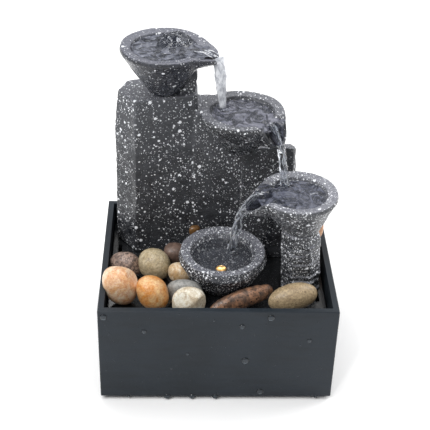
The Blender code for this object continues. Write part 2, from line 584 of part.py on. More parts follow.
def build_pump(plastic, rubber, steel, copper, magnet_mat, ceramic, lead_mat):
    axis = (0, PUMP_AXIS_Y, PUMP_AXIS_Z)
    half_w, half_h = PUMP_WIDTH / 2, PUMP_HEIGHT / 2
    low = (PUMP_REAR, PUMP_AXIS_Y - half_w, PUMP_AXIS_Z - half_h)
    high = (PUMP_FRONT, PUMP_AXIS_Y + half_w, PUMP_AXIS_Z + half_h)
    body = box("pump_body", low, high, plastic, 0.0010)
    room_front = PUMP_FRONT - 0.0030
    cut(body, box("stator_room", (PUMP_REAR - 0.01, low[1] + PUMP_WALL, low[2] + PUMP_WALL),
                  (room_front, high[1] - PUMP_WALL, high[2] - PUMP_WALL)))
    well_end = PUMP_FRONT - WELL_DEPTH
    join(body, rod("well_wall", WELL_RADIUS + 0.0012, well_end - 0.0012, PUMP_FRONT - 0.0010, axis, "X"))
    cut(body, rod("well_bore", WELL_RADIUS, well_end, PUMP_FRONT + 0.01, axis, "X"))
    lead_x, lead_y = PUMP_REAR + 0.0090, PUMP_AXIS_Y + half_w - 0.0060
    cut(body, rod("pump_lead_hole", LEAD_RADIUS + LEAD_PLAY, high[2] - 0.01, high[2] + 0.01, (lead_x, lead_y, 0)))

    leg_in = WELL_RADIUS + 0.0012 + GAP
    leg_out = half_w - PUMP_WALL - GAP
    yoke_x = well_end - 0.0012 - 0.0070
    core = box("stator_core", (yoke_x, PUMP_AXIS_Y - leg_out, PUMP_AXIS_Z - 0.0040),
               (well_end + 0.0150, PUMP_AXIS_Y + leg_out, PUMP_AXIS_Z + 0.0040), steel)
    cut(core, box("core_window", (yoke_x + 0.0036, PUMP_AXIS_Y - leg_in, PUMP_AXIS_Z - 0.01),
                  (well_end + 0.02, PUMP_AXIS_Y + leg_in, PUMP_AXIS_Z + 0.01)))
    turn_y, turn = leg_in - 0.0006, 0.0026
    coil = box("stator_coil", (yoke_x - turn, PUMP_AXIS_Y - turn_y, PUMP_AXIS_Z - 0.0040 - turn),
               (yoke_x + 0.0036 + turn, PUMP_AXIS_Y + turn_y, PUMP_AXIS_Z + 0.0040 + turn), copper, 0.0008)
    cut(coil, box("coil_window", (yoke_x - GAP, PUMP_AXIS_Y - 0.02, PUMP_AXIS_Z - 0.0040 - GAP),
                  (yoke_x + 0.0036 + GAP, PUMP_AXIS_Y + 0.02, PUMP_AXIS_Z + 0.0040 + GAP)))
    cover = box("pump_back_cover", (PUMP_REAR - 0.0016 - GAP, low[1], low[2]), (PUMP_REAR - GAP, high[1], high[2]),
                plastic, 0.0005)
    inset = PUMP_WALL + GAP
    join(cover, box("cover_spigot", (PUMP_REAR - 0.0010, low[1] + inset, low[2] + inset),
                    (PUMP_REAR + 0.0012, high[1] - inset, high[2] - inset)))

    pipe("rear_bush", 0.0030, SHAFT_RADIUS + RUNNING, well_end + GAP, well_end + 0.0022, axis, "X", 20, rubber)
    bush_front = CHAMBER_X + CHAMBER_WIDTH - 0.0006
    pipe("front_bush", 0.0020, SHAFT_RADIUS + RUNNING, bush_front - 0.0024, bush_front - 0.0003, axis, "X", 20,
         rubber)
    rod("impeller_shaft", SHAFT_RADIUS, well_end + 0.0006, bush_front - 0.0005, axis, "X", 20, ceramic)

    magnet_front = PUMP_FRONT - 0.0012
    magnet = pipe("rotor_magnet", MAGNET_RADIUS, SHAFT_RADIUS + RUNNING, well_end + 0.0030, magnet_front,
                  axis, "X", 24, magnet_mat)
    disc_x = magnet_front + GAP
    impeller = turned("impeller",
                      [(SHAFT_RADIUS + RUNNING, disc_x), (SHAFT_RADIUS + RUNNING, disc_x + 0.0058),
                       (0.0026, disc_x + 0.0058), (0.0026, disc_x + 0.0024), (MAGNET_RADIUS, disc_x + 0.0024),
                       (MAGNET_RADIUS, disc_x)], 24, plastic, "X", axis)
    blade = 0.0006
    for n in range(IMPELLER_BLADES):
        arm = box(f"blade_{n}", (disc_x + 0.0018, 0.0021, -blade), (disc_x + 0.0056, IMPELLER_RADIUS, blade))
        turn_n = Matrix.Rotation(2 * math.pi * n / IMPELLER_BLADES, 4, "X")
        arm.data.transform(Matrix.Translation(axis) @ turn_n)
        join(impeller, arm)
    hung_on("rotor_axis", (disc_x, PUMP_AXIS_Y, PUMP_AXIS_Z), [magnet, impeller])

    front_x = CHAMBER_X + CHAMBER_WIDTH
    inner_front = front_x - 0.0015
    chamber = rod("pump_chamber", CHAMBER_RADIUS + 0.0015, CHAMBER_X, front_x, axis, "X", 32, plastic)
    join(chamber, rod("nozzle_stem", NOZZLE_RADIUS, PUMP_AXIS_Z + 0.0035, NOZZLE_TOP, (HOSE_X, HOSE_Y, 0)))
    cut(chamber, rod("chamber_way", CHAMBER_RADIUS, CHAMBER_X - 0.01, inner_front, axis, "X", 36))
    join(chamber, rod("bush_boss", 0.0034, bush_front - 0.0026, inner_front + 0.0005, axis, "X"))
    cut(chamber, rod("nozzle_way", NOZZLE_BORE, PUMP_AXIS_Z + 0.0020, NOZZLE_TOP + 0.01, (HOSE_X, HOSE_Y, 0)))
    cut(chamber, rod("bush_seat", 0.0020 + GAP, bush_front - 0.0040, bush_front, axis, "X"))
    for n in range(4):
        way = math.radians(45 + 90 * n)
        spot = (0, PUMP_AXIS_Y + 0.0062 * math.cos(way), PUMP_AXIS_Z + 0.0062 * math.sin(way))
        cut(chamber, rod(f"intake_{n}", 0.0022, inner_front - 0.003, front_x + 0.003, spot, "X", 16))

    for n, (sx, sy) in enumerate(((0, -1), (0, 1), (1, -1), (1, 1))):
        x = PUMP_REAR + 0.0070 if not sx else PUMP_FRONT - 0.0070
        cup = CUP_RADIUS
        turned(f"suction_cup_{n + 1}",
               [(0, SUMP_FLOOR + 0.0018), (cup - 0.0012, SUMP_FLOOR + GAP), (cup, SUMP_FLOOR + GAP),
                (cup * 0.75, SUMP_FLOOR + 0.0022), (0.0020, SUMP_FLOOR + 0.0028), (0.0020, PUMP_BASE - GAP),
                (0, PUMP_BASE - GAP)], 20, rubber,
               origin=(x, PUMP_AXIS_Y + sy * (half_w - 0.0060), 0))

    gland_y = INNER_Y - GAP - 0.0016
    tube_along("pump_lead",
               [(lead_x, lead_y, high[2] - 0.0020), (lead_x, lead_y, high[2] + 0.0020),
                (lead_x + 0.0018, lead_y + 0.0015, high[2] + 0.0060),
                (GLAND_X - 0.0030, gland_y - 0.0090, GLAND_Z - 0.0010),
                (GLAND_X, gland_y - 0.0030, GLAND_Z), (GLAND_X, gland_y + 0.0030, GLAND_Z)],
               LEAD_RADIUS, lead_mat)
    return build_strainer(plastic)


def build_strainer(plastic):
    """The slotted intake cover, which pulls off along the shaft, and the flow slider on its face."""
    half_w, half_h = PUMP_WIDTH / 2, PUMP_HEIGHT / 2 - 0.0008
    wall = 0.0012
    front = STRAINER_X + STRAINER_LENGTH
    cover = box("intake_cover", (STRAINER_X, PUMP_AXIS_Y - half_w, PUMP_AXIS_Z - half_h),
                (front, PUMP_AXIS_Y + half_w, PUMP_AXIS_Z + half_h), plastic, 0.0008)
    cut(cover, box("cover_room", (STRAINER_X - 0.01, PUMP_AXIS_Y - half_w + wall, PUMP_AXIS_Z - half_h + wall),
                   (front - wall, PUMP_AXIS_Y + half_w - wall, PUMP_AXIS_Z + half_h - wall)))
    for n in range(6):
        z = PUMP_AXIS_Z - 0.0105 + 0.0042 * n
        low_y, high_y = PUMP_AXIS_Y - half_w + 0.0035, PUMP_AXIS_Y + half_w - 0.0035
        cut(cover, box(f"slot_{n}", (front - 0.004, low_y, z - 0.0008), (front + 0.004, high_y, z + 0.0008)))
    face = front + GAP
    slider = box("flow_slider", (face, PUMP_AXIS_Y - 0.0085, PUMP_AXIS_Z - 0.0045),
                 (face + 0.0012, PUMP_AXIS_Y + 0.0025, PUMP_AXIS_Z + 0.0045), plastic, 0.0003)
    join(slider, box("slider_grip", (face + 0.0006, PUMP_AXIS_Y - 0.0036, PUMP_AXIS_Z - 0.0035),
                     (face + 0.0030, PUMP_AXIS_Y - 0.0024, PUMP_AXIS_Z + 0.0035)))
    hung_on("strainer_rail", (STRAINER_X, PUMP_AXIS_Y, PUMP_AXIS_Z), [cover])
    hung_on("slider_rail", (face, PUMP_AXIS_Y, PUMP_AXIS_Z), [slider])


# ---- pebbles ----------------------------------------------------------------------------------------------

# name: middle x and y, half sizes, turn about X, Y and Z in degrees, rise above the false floor, colour
PEBBLES = {
    "pebble_peach": ((-0.0685, -0.0400), (0.0118, 0.0105, 0.0150), (0, -6, 0), 0.0, (0.72, 0.46, 0.30)),
    "pebble_orange": ((-0.0470, -0.0453), (0.0108, 0.0110, 0.0135), (-10, 0, 12), 0.0, (0.70, 0.36, 0.14)),
    "pebble_granite": ((-0.0680, -0.0058), (0.0120, 0.0090, 0.0095), (0, 0, -12), 0.0, (0.36, 0.29, 0.25)),
    "pebble_olive": ((-0.0449, -0.0094), (0.0110, 0.0120, 0.0120), (0, 0, 20), 0.0, (0.50, 0.46, 0.33)),
    "pebble_mauve": ((-0.0316, 0.0097), (0.0088, 0.0078, 0.0085), (0, 0, 0), 0.0, (0.25, 0.18, 0.17)),
    "pebble_cream": ((-0.0300, -0.0208), (0.0068, 0.0056, 0.0078), (0, 0, -35), 0.0045, (0.66, 0.60, 0.46)),
    "pebble_grey": ((-0.0241, -0.0380), (0.0130, 0.0065, 0.0095), (0, 0, -6), 0.0, (0.34, 0.35, 0.34)),
    "pebble_white": ((-0.0208, -0.0536), (0.0125, 0.0080, 0.0120), (0, -10, 4), 0.0, (0.75, 0.71, 0.60)),
    "pebble_russet": ((0.0174, -0.0463), (0.0270, 0.0065, 0.0075), (0, -8, 18), 0.0, (0.27, 0.15, 0.10)),
    "pebble_tan": ((0.0542, -0.0466), (0.0186, 0.0090, 0.0105), (0, -8, 10), 0.0, (0.42, 0.33, 0.21)),
    "pebble_rear_low": ((0.0705, 0.0340), (0.0068, 0.0095, 0.0070), (0, 0, 5), 0.0, (0.40, 0.33, 0.26)),
    "pebble_rear_side": ((0.0705, 0.0120), (0.0068, 0.0100, 0.0080), (0, 0, -5), 0.0, (0.33, 0.30, 0.27)),
    "pebble_terracotta": ((0.0740, 0.0190), (0.0085, 0.0080, 0.0098), (0, 0, 0), 0.0176, (0.60, 0.32, 0.17)),
    "pebble_amber": ((-0.0163, 0.0215), (0.0045, 0.0030, 0.0042), (0, 0, 20), 0.0180, (0.45, 0.28, 0.10)),
}


def pebble(name, place, half, turn, rise, colour):
    shape = Euler([math.radians(a) for a in turn]).to_matrix()
    reach = math.sqrt(sum((h * shape[2][k]) ** 2 for k, h in enumerate(half)))
    bm = bmesh.new()
    bmesh.ops.create_icosphere(bm, subdivisions=3, radius=1.0)
    for vert in bm.verts:
        wave = 1.0 - 0.05 * (0.5 + 0.5 * noise.noise(vert.co * 1.3 + Vector((len(name), place[0] * 400, 0))))
        vert.co = shape @ Vector([c * h * wave for c, h in zip(vert.co, half)])
    bmesh.ops.translate(bm, vec=(*place, DECK_TOP + GAP + reach + rise), verts=bm.verts)
    return finish(bm, name, material(name, colour, 0.45), 60)


def build_pebbles():
    return [pebble(name, *facts) for name, facts in PEBBLES.items()]


def main():
    clear_scene()
    slate = material("basin_slate", (0.055, 0.062, 0.073), 0.45)
    rubber = material("black_rubber", (0.02, 0.02, 0.02), 0.85)
    black = material("black_plastic", (0.018, 0.019, 0.021), 0.40)
    stone = material("cast_stone", (0.065, 0.068, 0.075), 0.70)
    hose = material("clear_hose", (0.70, 0.74, 0.76), 0.20)
    build_basin(slate, rubber)
    rockery = [build_deck(black)]
    rockery += build_rockery(stone, hose)
    rockery += build_lamp(material("lens", (0.95, 0.72, 0.35), 0.10), black,
                          material("lamp_board", (0.02, 0.18, 0.08), 0.5), rubber,
                          material("lead_jacket", (0.015, 0.015, 0.015), 0.6))
    rockery += build_pebbles()
    lead = material("pump_lead_jacket", (0.015, 0.015, 0.015), 0.6)
    build_supply(black, lead)
    build_pump(black, rubber, material("core_steel", (0.35, 0.35, 0.36), 0.4, 1.0),
               material("copper_wire", (0.72, 0.33, 0.16), 0.35, 1.0),
               material("ferrite", (0.05, 0.05, 0.05), 0.5), material("ceramic", (0.85, 0.85, 0.82), 0.3), lead)
    hung_on("rockery_lift", (0, 0, DECK_BASE), rockery)


main()
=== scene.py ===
"""Looks of the tabletop fountain: wet cast rock, pools and falls, tumbled pebbles and a slate basin."""

import logging
import math
import random
from dataclasses import dataclass, field
from enum import Enum

import bmesh
import bpy
import numpy as np
from mathutils import Matrix, Vector, noise
from mathutils.bvhtree import BVHTree


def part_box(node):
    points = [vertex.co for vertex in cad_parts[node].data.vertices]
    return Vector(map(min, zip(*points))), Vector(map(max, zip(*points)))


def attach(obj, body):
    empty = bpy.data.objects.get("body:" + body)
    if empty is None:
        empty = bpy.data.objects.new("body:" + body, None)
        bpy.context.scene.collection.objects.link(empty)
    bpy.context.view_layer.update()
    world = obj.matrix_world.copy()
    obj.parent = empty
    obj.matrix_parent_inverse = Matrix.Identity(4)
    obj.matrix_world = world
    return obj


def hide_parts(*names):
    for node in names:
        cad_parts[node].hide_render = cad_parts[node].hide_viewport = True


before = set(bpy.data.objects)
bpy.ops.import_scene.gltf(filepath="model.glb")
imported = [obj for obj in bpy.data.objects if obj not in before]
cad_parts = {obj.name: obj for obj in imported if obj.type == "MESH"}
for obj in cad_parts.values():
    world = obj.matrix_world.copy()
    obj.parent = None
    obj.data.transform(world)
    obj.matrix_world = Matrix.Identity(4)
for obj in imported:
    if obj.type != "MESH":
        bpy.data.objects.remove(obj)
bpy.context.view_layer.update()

LOG = logging.getLogger("fountain")
MM = 0.001
WATER_SLOT = "clear_hose"
Colour = tuple[float, float, float]
Triple = tuple[float, float, float]


class Body(Enum):
    """The moving bodies that pieces ride on."""

    BASIN = "basin"
    ROCKERY = "rockery"


class Pebble(Enum):
    """Kinds of tumbled stone, by what breaks up their colour."""

    MOTTLED = "mottled"
    SPECKLED = "speckled"
    TWO_TONE = "two-tone"


# ---- node trees -------------------------------------------------------------------------------------------

class Graph:
    """A thin helper that adds and joins the nodes of one tree."""

    def __init__(self, tree: bpy.types.NodeTree) -> None:
        """Keeps the tree that nodes are added to.

        Args:
            tree: the material's or the group's node tree.
        """
        self.tree = tree

    def add(self, kind: str, **settings: object) -> bpy.types.Node:
        """Adds a node.

        Args:
            kind: the node's type name.
            settings: properties to set on the node.

        Returns:
            The new node.
        """
        node = self.tree.nodes.new(kind)
        for key, value in settings.items():
            setattr(node, key, value)
        return node

    def feed(self, socket: bpy.types.NodeSocket, value: object) -> None:
        """Joins a socket to another, or sets its own value.

        Args:
            socket: the input to feed.
            value: an output socket, a number, or a tuple of numbers.
        """
        if isinstance(value, bpy.types.NodeSocket):
            self.tree.links.new(value, socket)
        elif isinstance(value, tuple) and len(value) == 3 and socket.type == "RGBA":
            socket.default_value = (*value, 1.0)
        else:
            socket.default_value = value

    def math(self, operation: str, *values: object, clamp: bool = False) -> bpy.types.NodeSocket:
        """Adds a Math node.

        Args:
            operation: the sum to do.
            values: its inputs, sockets or numbers.
            clamp: whether the result is held between 0 and 1.

        Returns:
            The result's socket.
        """
        node = self.add("ShaderNodeMath", operation=operation, use_clamp=clamp)
        for socket, value in zip(node.inputs, values):
            self.feed(socket, value)
        return node.outputs[0]

    def times(self, first: object, second: object, clamp: bool = False) -> bpy.types.NodeSocket:
        """Multiplies two values, each a socket or a number."""
        return self.math("MULTIPLY", first, second, clamp=clamp)

    def along(self, vector: object, axis: int) -> bpy.types.NodeSocket:
        """Returns a vector's length along x, y or z, which are 0, 1 and 2."""
        parts = self.add("ShaderNodeSeparateXYZ")
        self.feed(parts.inputs[0], vector)
        return parts.outputs[axis]

    def noted(self, name: str) -> bpy.types.NodeSocket:
        """Returns the number that a mesh notes at its points under a name."""
        return self.add("ShaderNodeAttribute", attribute_name=name, attribute_type="GEOMETRY").outputs["Fac"]

    def mix(self, share: object, first: object, second: object,
            blend: str = "MIX") -> bpy.types.NodeSocket:
        """Mixes two colours.

        Args:
            share: how much of the second colour.
            first: the first colour.
            second: the second colour.
            blend: the way the two are combined.

        Returns:
            The mixed colour's socket.
        """
        node = self.add("ShaderNodeMix", data_type="RGBA", blend_type=blend, clamp_factor=True)
        self.feed(node.inputs[0], share)
        self.feed(node.inputs[6], first)
        self.feed(node.inputs[7], second)
        return node.outputs[2]

    def span(self, value: object, low: float, high: float, to_low: float = 0.0,
             to_high: float = 1.0, smooth: bool = True) -> bpy.types.NodeSocket:
        """Maps a range of values onto another, held at its ends.

        Args:
            value: what to map.
            low: where the range starts.
            high: where the range ends.
            to_low: the result at its start.
            to_high: the result at its end.
            smooth: whether the way between is an S curve.

        Returns:
            The mapped value's socket.
        """
        node = self.add("ShaderNodeMapRange", interpolation_type="SMOOTHSTEP" if smooth else "LINEAR")
        for name, given in zip(("Value", "From Min", "From Max", "To Min", "To Max"),
                               (value, low, high, to_low, to_high)):
            self.feed(node.inputs[name], given)
        return node.outputs[0]

    def clouds(self, place: object, scale: object, detail: float = 3.0, rough: float = 0.55,
               warp: float = 0.0) -> bpy.types.NodeSocket:
        """Adds a noise texture.

        Args:
            place: the coordinates' socket.
            scale: patches per metre, a number or a socket.
            detail: octaves.
            rough: how strong the fine octaves are.
            warp: how far the pattern is twisted.

        Returns:
            The noise's value, about 0 to 1.
        """
        node = self.add("ShaderNodeTexNoise")
        for name, given in (("Vector", place), ("Scale", scale), ("Detail", detail), ("Roughness", rough),
                            ("Distortion", warp)):
            self.feed(node.inputs[name], given)
        return node.outputs["Fac"]

    def stretched(self, place: object, factors: Triple,
                  shift: Triple = (0.0, 0.0, 0.0)) -> bpy.types.NodeSocket:
        """Scales and shifts coordinates.

        Args:
            place: the coordinates' socket.
            factors: the scale along each axis.
            shift: what is added after scaling.

        Returns:
            The new coordinates' socket.
        """
        node = self.add("ShaderNodeMapping")
        self.feed(node.inputs["Vector"], place)
        node.inputs["Scale"].default_value = factors
        node.inputs["Location"].default_value = shift
        return node.outputs[0]

    def dots(self, place: object, cell: float, radius: float, share: object) -> bpy.types.NodeSocket:
        """Scatters round spots of uneven size.

        Args:
            place: the coordinates' socket.
            cell: the usual distance between spots, in metres.
            radius: the largest spot's radius, in cells.
            share: how many of the cells hold a spot, 0 to 1, a number or a socket.

        Returns:
            A mask that is 1 inside spots.
        """
        spots = self.add("ShaderNodeTexVoronoi", feature="F1")
        self.feed(spots.inputs["Vector"], place)
        spots.inputs["Scale"].default_value = 1.0 / cell
        spots.inputs["Randomness"].default_value = 1.0
        pick = self.add("ShaderNodeSeparateColor")
        self.feed(pick.inputs[0], spots.outputs["Color"])
        held = self.math("LESS_THAN", pick.outputs[0], share)
        size = self.times(self.times(pick.outputs[1], pick.outputs[1]), radius)
        size = self.times(held, self.math("ADD", size, radius * 0.30))
        gap = self.math("SUBTRACT", size, spots.outputs["Distance"])
        return self.span(gap, -0.02, 0.05)


def new_group(name: str, inputs: dict[str, object], outputs: dict[str, str]) -> bpy.types.NodeTree:
    """Starts a shader node group.

    Args:
        name: the group's name.
        inputs: each input's name, with its usual value or the word Vector.
        outputs: each output's name and kind of socket.

    Returns:
        The group's tree.
    """
    tree = bpy.data.node_groups.new(name, "ShaderNodeTree")
    for key, value in inputs.items():
        if value == "Vector":
            tree.interface.new_socket(name=key, in_out="INPUT", socket_type="NodeSocketVector")
        elif isinstance(value, tuple):
            socket = tree.interface.new_socket(name=key, in_out="INPUT", socket_type="NodeSocketColor")
            socket.default_value = (*value, 1.0)
        else:
            socket = tree.interface.new_socket(name=key, in_out="INPUT", socket_type="NodeSocketFloat")
            socket.default_value = value
    for key, kind in outputs.items():
        tree.interface.new_socket(name=key, in_out="OUTPUT", socket_type="NodeSocket" + kind)
    return tree


def ends_of(graph: Graph) -> tuple[bpy.types.Node, bpy.types.Node]:
    """Adds a group's input and output nodes and returns them."""
    return graph.add("NodeGroupInput"), graph.add("NodeGroupOutput")


def fine_grain() -> bpy.types.NodeTree:
    """Builds the moulding grain that plastics, rubber, metal and slate share.

    Returns:
        A group that puts out a height and a soft mask of wear.
    """
    tree = new_group("fine_grain", {"Place": "Vector", "Grain": 900.0, "Patch": 60.0},
                     {"Height": "Float", "Wear": "Float"})
    g = Graph(tree)
    given, out = ends_of(g)
    fine = g.clouds(given.outputs["Place"], given.outputs["Grain"], 4.0, 0.65)
    patch = g.clouds(given.outputs["Place"], given.outputs["Patch"], 3.0, 0.5, 0.4)
    g.feed(out.inputs["Height"], fine)
    g.feed(out.inputs["Wear"], g.span(patch, 0.38, 0.66))
    return tree


def spatter_and_glints() -> bpy.types.NodeTree:
    """Builds the pale paint flecks thrown over the cast rock, and the finest specks, painted glints of water.

    Returns:
        A group that puts out a mask of paint flecks and a mask of the finest specks, which are painted glints
        of water.
    """
    tree = new_group("spatter_and_glints", {"Place": "Vector", "Thickness": 1.0}, {"Flecks": "Float", "Specks": "Float"})
    g = Graph(tree)
    given, out = ends_of(g)
    place = given.outputs["Place"]
    bend = g.add("ShaderNodeTexNoise")
    g.feed(bend.inputs["Vector"], place)
    bend.inputs["Scale"].default_value = 700.0
    shove = g.add("ShaderNodeVectorMath", operation="MULTIPLY_ADD")
    g.feed(shove.inputs[0], bend.outputs["Color"])
    shove.inputs[1].default_value = (0.0009, 0.0009, 0.0009)
    g.feed(shove.inputs[2], place)
    bent = shove.outputs[0]
    crowd = g.span(g.clouds(place, 60.0, 3.0), 0.38, 0.60)
    thick = g.times(g.math("ADD", g.times(crowd, 0.7), 0.5), given.outputs["Thickness"])
    large = g.dots(bent, 0.0036, 0.31, g.times(thick, 0.36))
    middle = g.dots(g.stretched(bent, (1, 1, 1), (0.013, 0.007, 0.021)), 0.0018, 0.34,
                    g.times(thick, 0.50))
    # The smallest dots stand for water specks: painted glints.
    small = g.dots(g.stretched(bent, (1, 1, 1), (0.031, 0.017, 0.005)), 0.0009, 0.38,
                   g.times(thick, 0.48))
    g.feed(out.inputs["Flecks"], g.math("MAXIMUM", large, middle))
    g.feed(out.inputs["Specks"], small)
    return tree


def wet_skin() -> bpy.types.NodeTree:
    """Builds the broken film of water that lies over the rock.

    Returns:
        A group that puts out a mask of wetness and the film's height.
    """
    tree = new_group("wet_skin", {"Place": "Vector", "Wetness": 0.5}, {"Wet": "Float", "Height": "Float"})
    g = Graph(tree)
    given, out = ends_of(g)
    place = given.outputs["Place"]
    runs = g.clouds(g.stretched(place, (1.0, 1.0, 0.45)), 90.0, 4.0, 0.6, 0.8)
    beads = g.clouds(place, 420.0, 2.0, 0.5)
    lift = g.math("ADD", runs, g.math("SUBTRACT", given.outputs["Wetness"], 0.5))
    g.feed(out.inputs["Wet"], g.span(lift, 0.42, 0.62))
    g.feed(out.inputs["Height"], g.math("ADD", g.times(runs, 0.6), g.times(beads, 0.4)))
    return tree


def pebble_skin() -> bpy.types.NodeTree:
    """Builds the colour of a tumbled stone from patches, bands and specks.

    Returns:
        A group that puts out a colour, a roughness and a height.
    """
    tree = new_group("pebble_skin",
                     {"Place": "Vector", "Base": (0.5, 0.4, 0.3), "Second": (0.3, 0.2, 0.1),
                      "Speck": (0.05, 0.05, 0.05), "Patch Scale": 120.0, "Band Scale": 200.0, "Bands": 0.0,
                      "Specks": 0.3, "Contrast": 0.5},
                     {"Color": "Color", "Roughness": "Float", "Height": "Float"})
    g = Graph(tree)
    given, out = ends_of(g)
    place = given.outputs["Place"]
    patch = g.clouds(place, given.outputs["Patch Scale"], 5.0, 0.62, 0.9)
    bands = g.add("ShaderNodeTexWave", wave_type="BANDS", bands_direction="DIAGONAL")
    g.feed(bands.inputs["Vector"], place)
    g.feed(bands.inputs["Scale"], given.outputs["Band Scale"])
    for key, value in (("Distortion", 6.0), ("Detail", 4.0), ("Detail Scale", 1.6),
                       ("Detail Roughness", 0.6)):
        bands.inputs[key].default_value = value
    drawn = g.add("ShaderNodeMix", data_type="FLOAT")
    g.feed(drawn.inputs[0], given.outputs["Bands"])
    g.feed(drawn.inputs[2], g.span(patch, 0.36, 0.66))
    g.feed(drawn.inputs[3], bands.outputs["Fac"])
    share = g.times(drawn.outputs[0], given.outputs["Contrast"], clamp=True)
    colour = g.mix(share, given.outputs["Base"], given.outputs["Second"])
    specks = g.math("MAXIMUM", g.dots(place, 0.0013, 0.34, 0.7), g.dots(place, 0.0023, 0.30, 0.4))
    colour = g.mix(g.times(specks, given.outputs["Specks"]), colour, given.outputs["Speck"])
    fine = g.clouds(place, 620.0, 5.0, 0.72, 0.4)
    mottle = g.mix(g.span(fine, 0.36, 0.64), (0.34, 0.34, 0.34), (0.64, 0.64, 0.64))
    colour = g.mix(0.85, colour, mottle, "OVERLAY")
    veins = g.math("ABSOLUTE", g.math("SUBTRACT", g.clouds(place, 170.0, 3.0, 0.6, 1.2), 0.5))
    colour = g.mix(g.times(g.span(veins, 0.035, 0.0), 0.45), colour, given.outputs["Second"])
    g.feed(out.inputs["Color"], colour)
    g.feed(out.inputs["Roughness"], g.span(patch, 0.3, 0.7, 0.36, 0.54))
    g.feed(out.inputs["Height"], g.math("SUBTRACT", fine, g.times(specks, 0.5)))
    return tree


class Groups:
    """The shared node groups, each built once."""

    grain: bpy.types.NodeTree
    spatter_and_glints: bpy.types.NodeTree
    wet: bpy.types.NodeTree
    pebble: bpy.types.NodeTree

    @classmethod
    def build(cls) -> None:
        """Builds every group."""
        cls.grain, cls.spatter_and_glints, cls.wet, cls.pebble = fine_grain(), spatter_and_glints(), wet_skin(), pebble_skin()


@dataclass(frozen=True)
class Surface:
    """A new material and the handles that a finish works with."""

    material: bpy.types.Material
    graph: Graph
    shader: bpy.types.Node
    place: bpy.types.NodeSocket

    @classmethod
    def start(cls, name: str) -> "Surface":
        """Makes a material with a Principled shader and object coordinates.

        Args:
            name: the material's name.

        Returns:
            The surface to dress.
        """
        made = bpy.data.materials.new(name)
        made.use_nodes = True
        graph = Graph(made.node_tree)
        place = graph.add("ShaderNodeTexCoord").outputs["Object"]
        return cls(made, graph, made.node_tree.nodes["Principled BSDF"], place)

    def set(self, **values: object) -> None:
        """Feeds the shader's inputs by name, with spaces written as underscores."""
        for key, value in values.items():
            self.graph.feed(self.shader.inputs[key.replace("_", " ")], value)

    def group(self, tree: bpy.types.NodeTree, **values: object) -> bpy.types.Node:
        """Places a node group, given the object coordinates.

        Args:
            tree: the group.
            values: inputs to feed, with spaces written as underscores.

        Returns:
            The group's node.
        """
        node = self.graph.add("ShaderNodeGroup", node_tree=tree)
        self.graph.feed(node.inputs["Place"], self.place)
        for key, value in values.items():
            self.graph.feed(node.inputs[key.replace("_", " ")], value)
        return node

    def bump(self, height: bpy.types.NodeSocket, strength: float, distance: float,
             under: bpy.types.NodeSocket | None = None) -> bpy.types.NodeSocket:
        """Turns a height into a normal.

        Args:
            height: the height's socket.
            strength: how much of it shows.
            distance: what a height of 1 stands for, in metres.
            under: a normal that this one lies over.

        Returns:
            The normal's socket.
        """
        node = self.graph.add("ShaderNodeBump")
        self.graph.feed(node.inputs["Height"], height)
        node.inputs["Strength"].default_value = strength
        node.inputs["Distance"].default_value = distance
        if under is not None:
            self.graph.feed(node.inputs["Normal"], under)
        return node.outputs[0]


# ---- finishes ---------------------------------------------------------------------------------------------

@dataclass(frozen=True)
class RockFinish:
    """Cast rock: charcoal, darker towards the bottom, with painted top light on faces that look up, thrown
    white paint flecks, painted glints as the finest specks and a film of water.
    """

    name: str
    dark: Colour = (0.008, 0.009, 0.011)
    light: Colour = (0.058, 0.062, 0.071)
    # lift: painted top light, the colour that faces looking up are mixed towards.
    lift: Colour = (0.190, 0.195, 0.225)
    # The white of the paint flecks, also used for the painted glints.
    fleck_and_glint: Colour = (0.88, 0.90, 0.94)
    painted_top_light_share: float = 0.45
    flecks: float = 0.8
    wetness: float = 0.5
    # How much darker the rock is towards the bottom, and the two heights between which it lightens.
    height_tone_share: float = 0.25
    darkest_below: float = 0.140
    lightest_above: float = 0.205

    def build(self) -> bpy.types.Material:
        """Builds the rock's material.

        Returns:
            The material.
        """
        s = Surface.start(self.name)
        g = s.graph
        patch = g.clouds(g.stretched(s.place, (1.0, 1.0, 2.0)), 75.0, 5.0, 0.62, 0.3)
        grit = g.clouds(g.stretched(s.place, (1.0, 1.0, 1.8)), 620.0, 4.0, 0.72)
        # Darker towards the bottom: the colour lightens between the two heights.
        height_tone = g.span(g.along(s.place, 2), self.darkest_below, self.lightest_above, smooth=False)
        share = g.math("ADD", g.times(g.span(patch, 0.38, 0.64), 0.35),
                       g.times(g.span(grit, 0.44, 0.62), 0.45))
        share = g.math("ADD", share, g.times(height_tone, self.height_tone_share), clamp=True)
        colour = g.mix(share, self.dark, self.light)
        # Painted top light: faces that look up are mixed towards the lift colour, broken up by the grit.
        facing = g.add("ShaderNodeNewGeometry").outputs["Normal"]
        painted_top_light = g.times(g.span(g.along(facing, 2), 0.15, 0.85), self.painted_top_light_share)
        painted_top_light = g.times(painted_top_light, g.span(grit, 0.25, 0.6, 0.55, 1.0))
        colour = g.mix(painted_top_light, colour, self.lift)
        # Thrown paint flecks, and the finest specks as painted glints, mixed towards the white.
        thrown = s.group(Groups.spatter_and_glints, Thickness=self.flecks)
        colour = g.mix(g.times(thrown.outputs["Specks"], 0.70), colour, self.fleck_and_glint)
        colour = g.mix(g.times(thrown.outputs["Flecks"], 0.97), colour, self.fleck_and_glint)
        film = s.group(Groups.wet, Wetness=self.wetness)
        rough = g.add("ShaderNodeMix", data_type="FLOAT")
        g.feed(rough.inputs[0], film.outputs["Wet"])
        rough.inputs[2].default_value, rough.inputs[3].default_value = 0.58, 0.14
        grain = s.bump(g.math("ADD", grit, g.times(thrown.outputs["Flecks"], 0.5)), 0.7, 0.0007)
        s.set(Base_Color=colour, Roughness=rough.outputs[0], Specular_IOR_Level=0.5,
              Normal=s.bump(film.outputs["Height"], 0.35, 0.0010, grain))
        return s.material


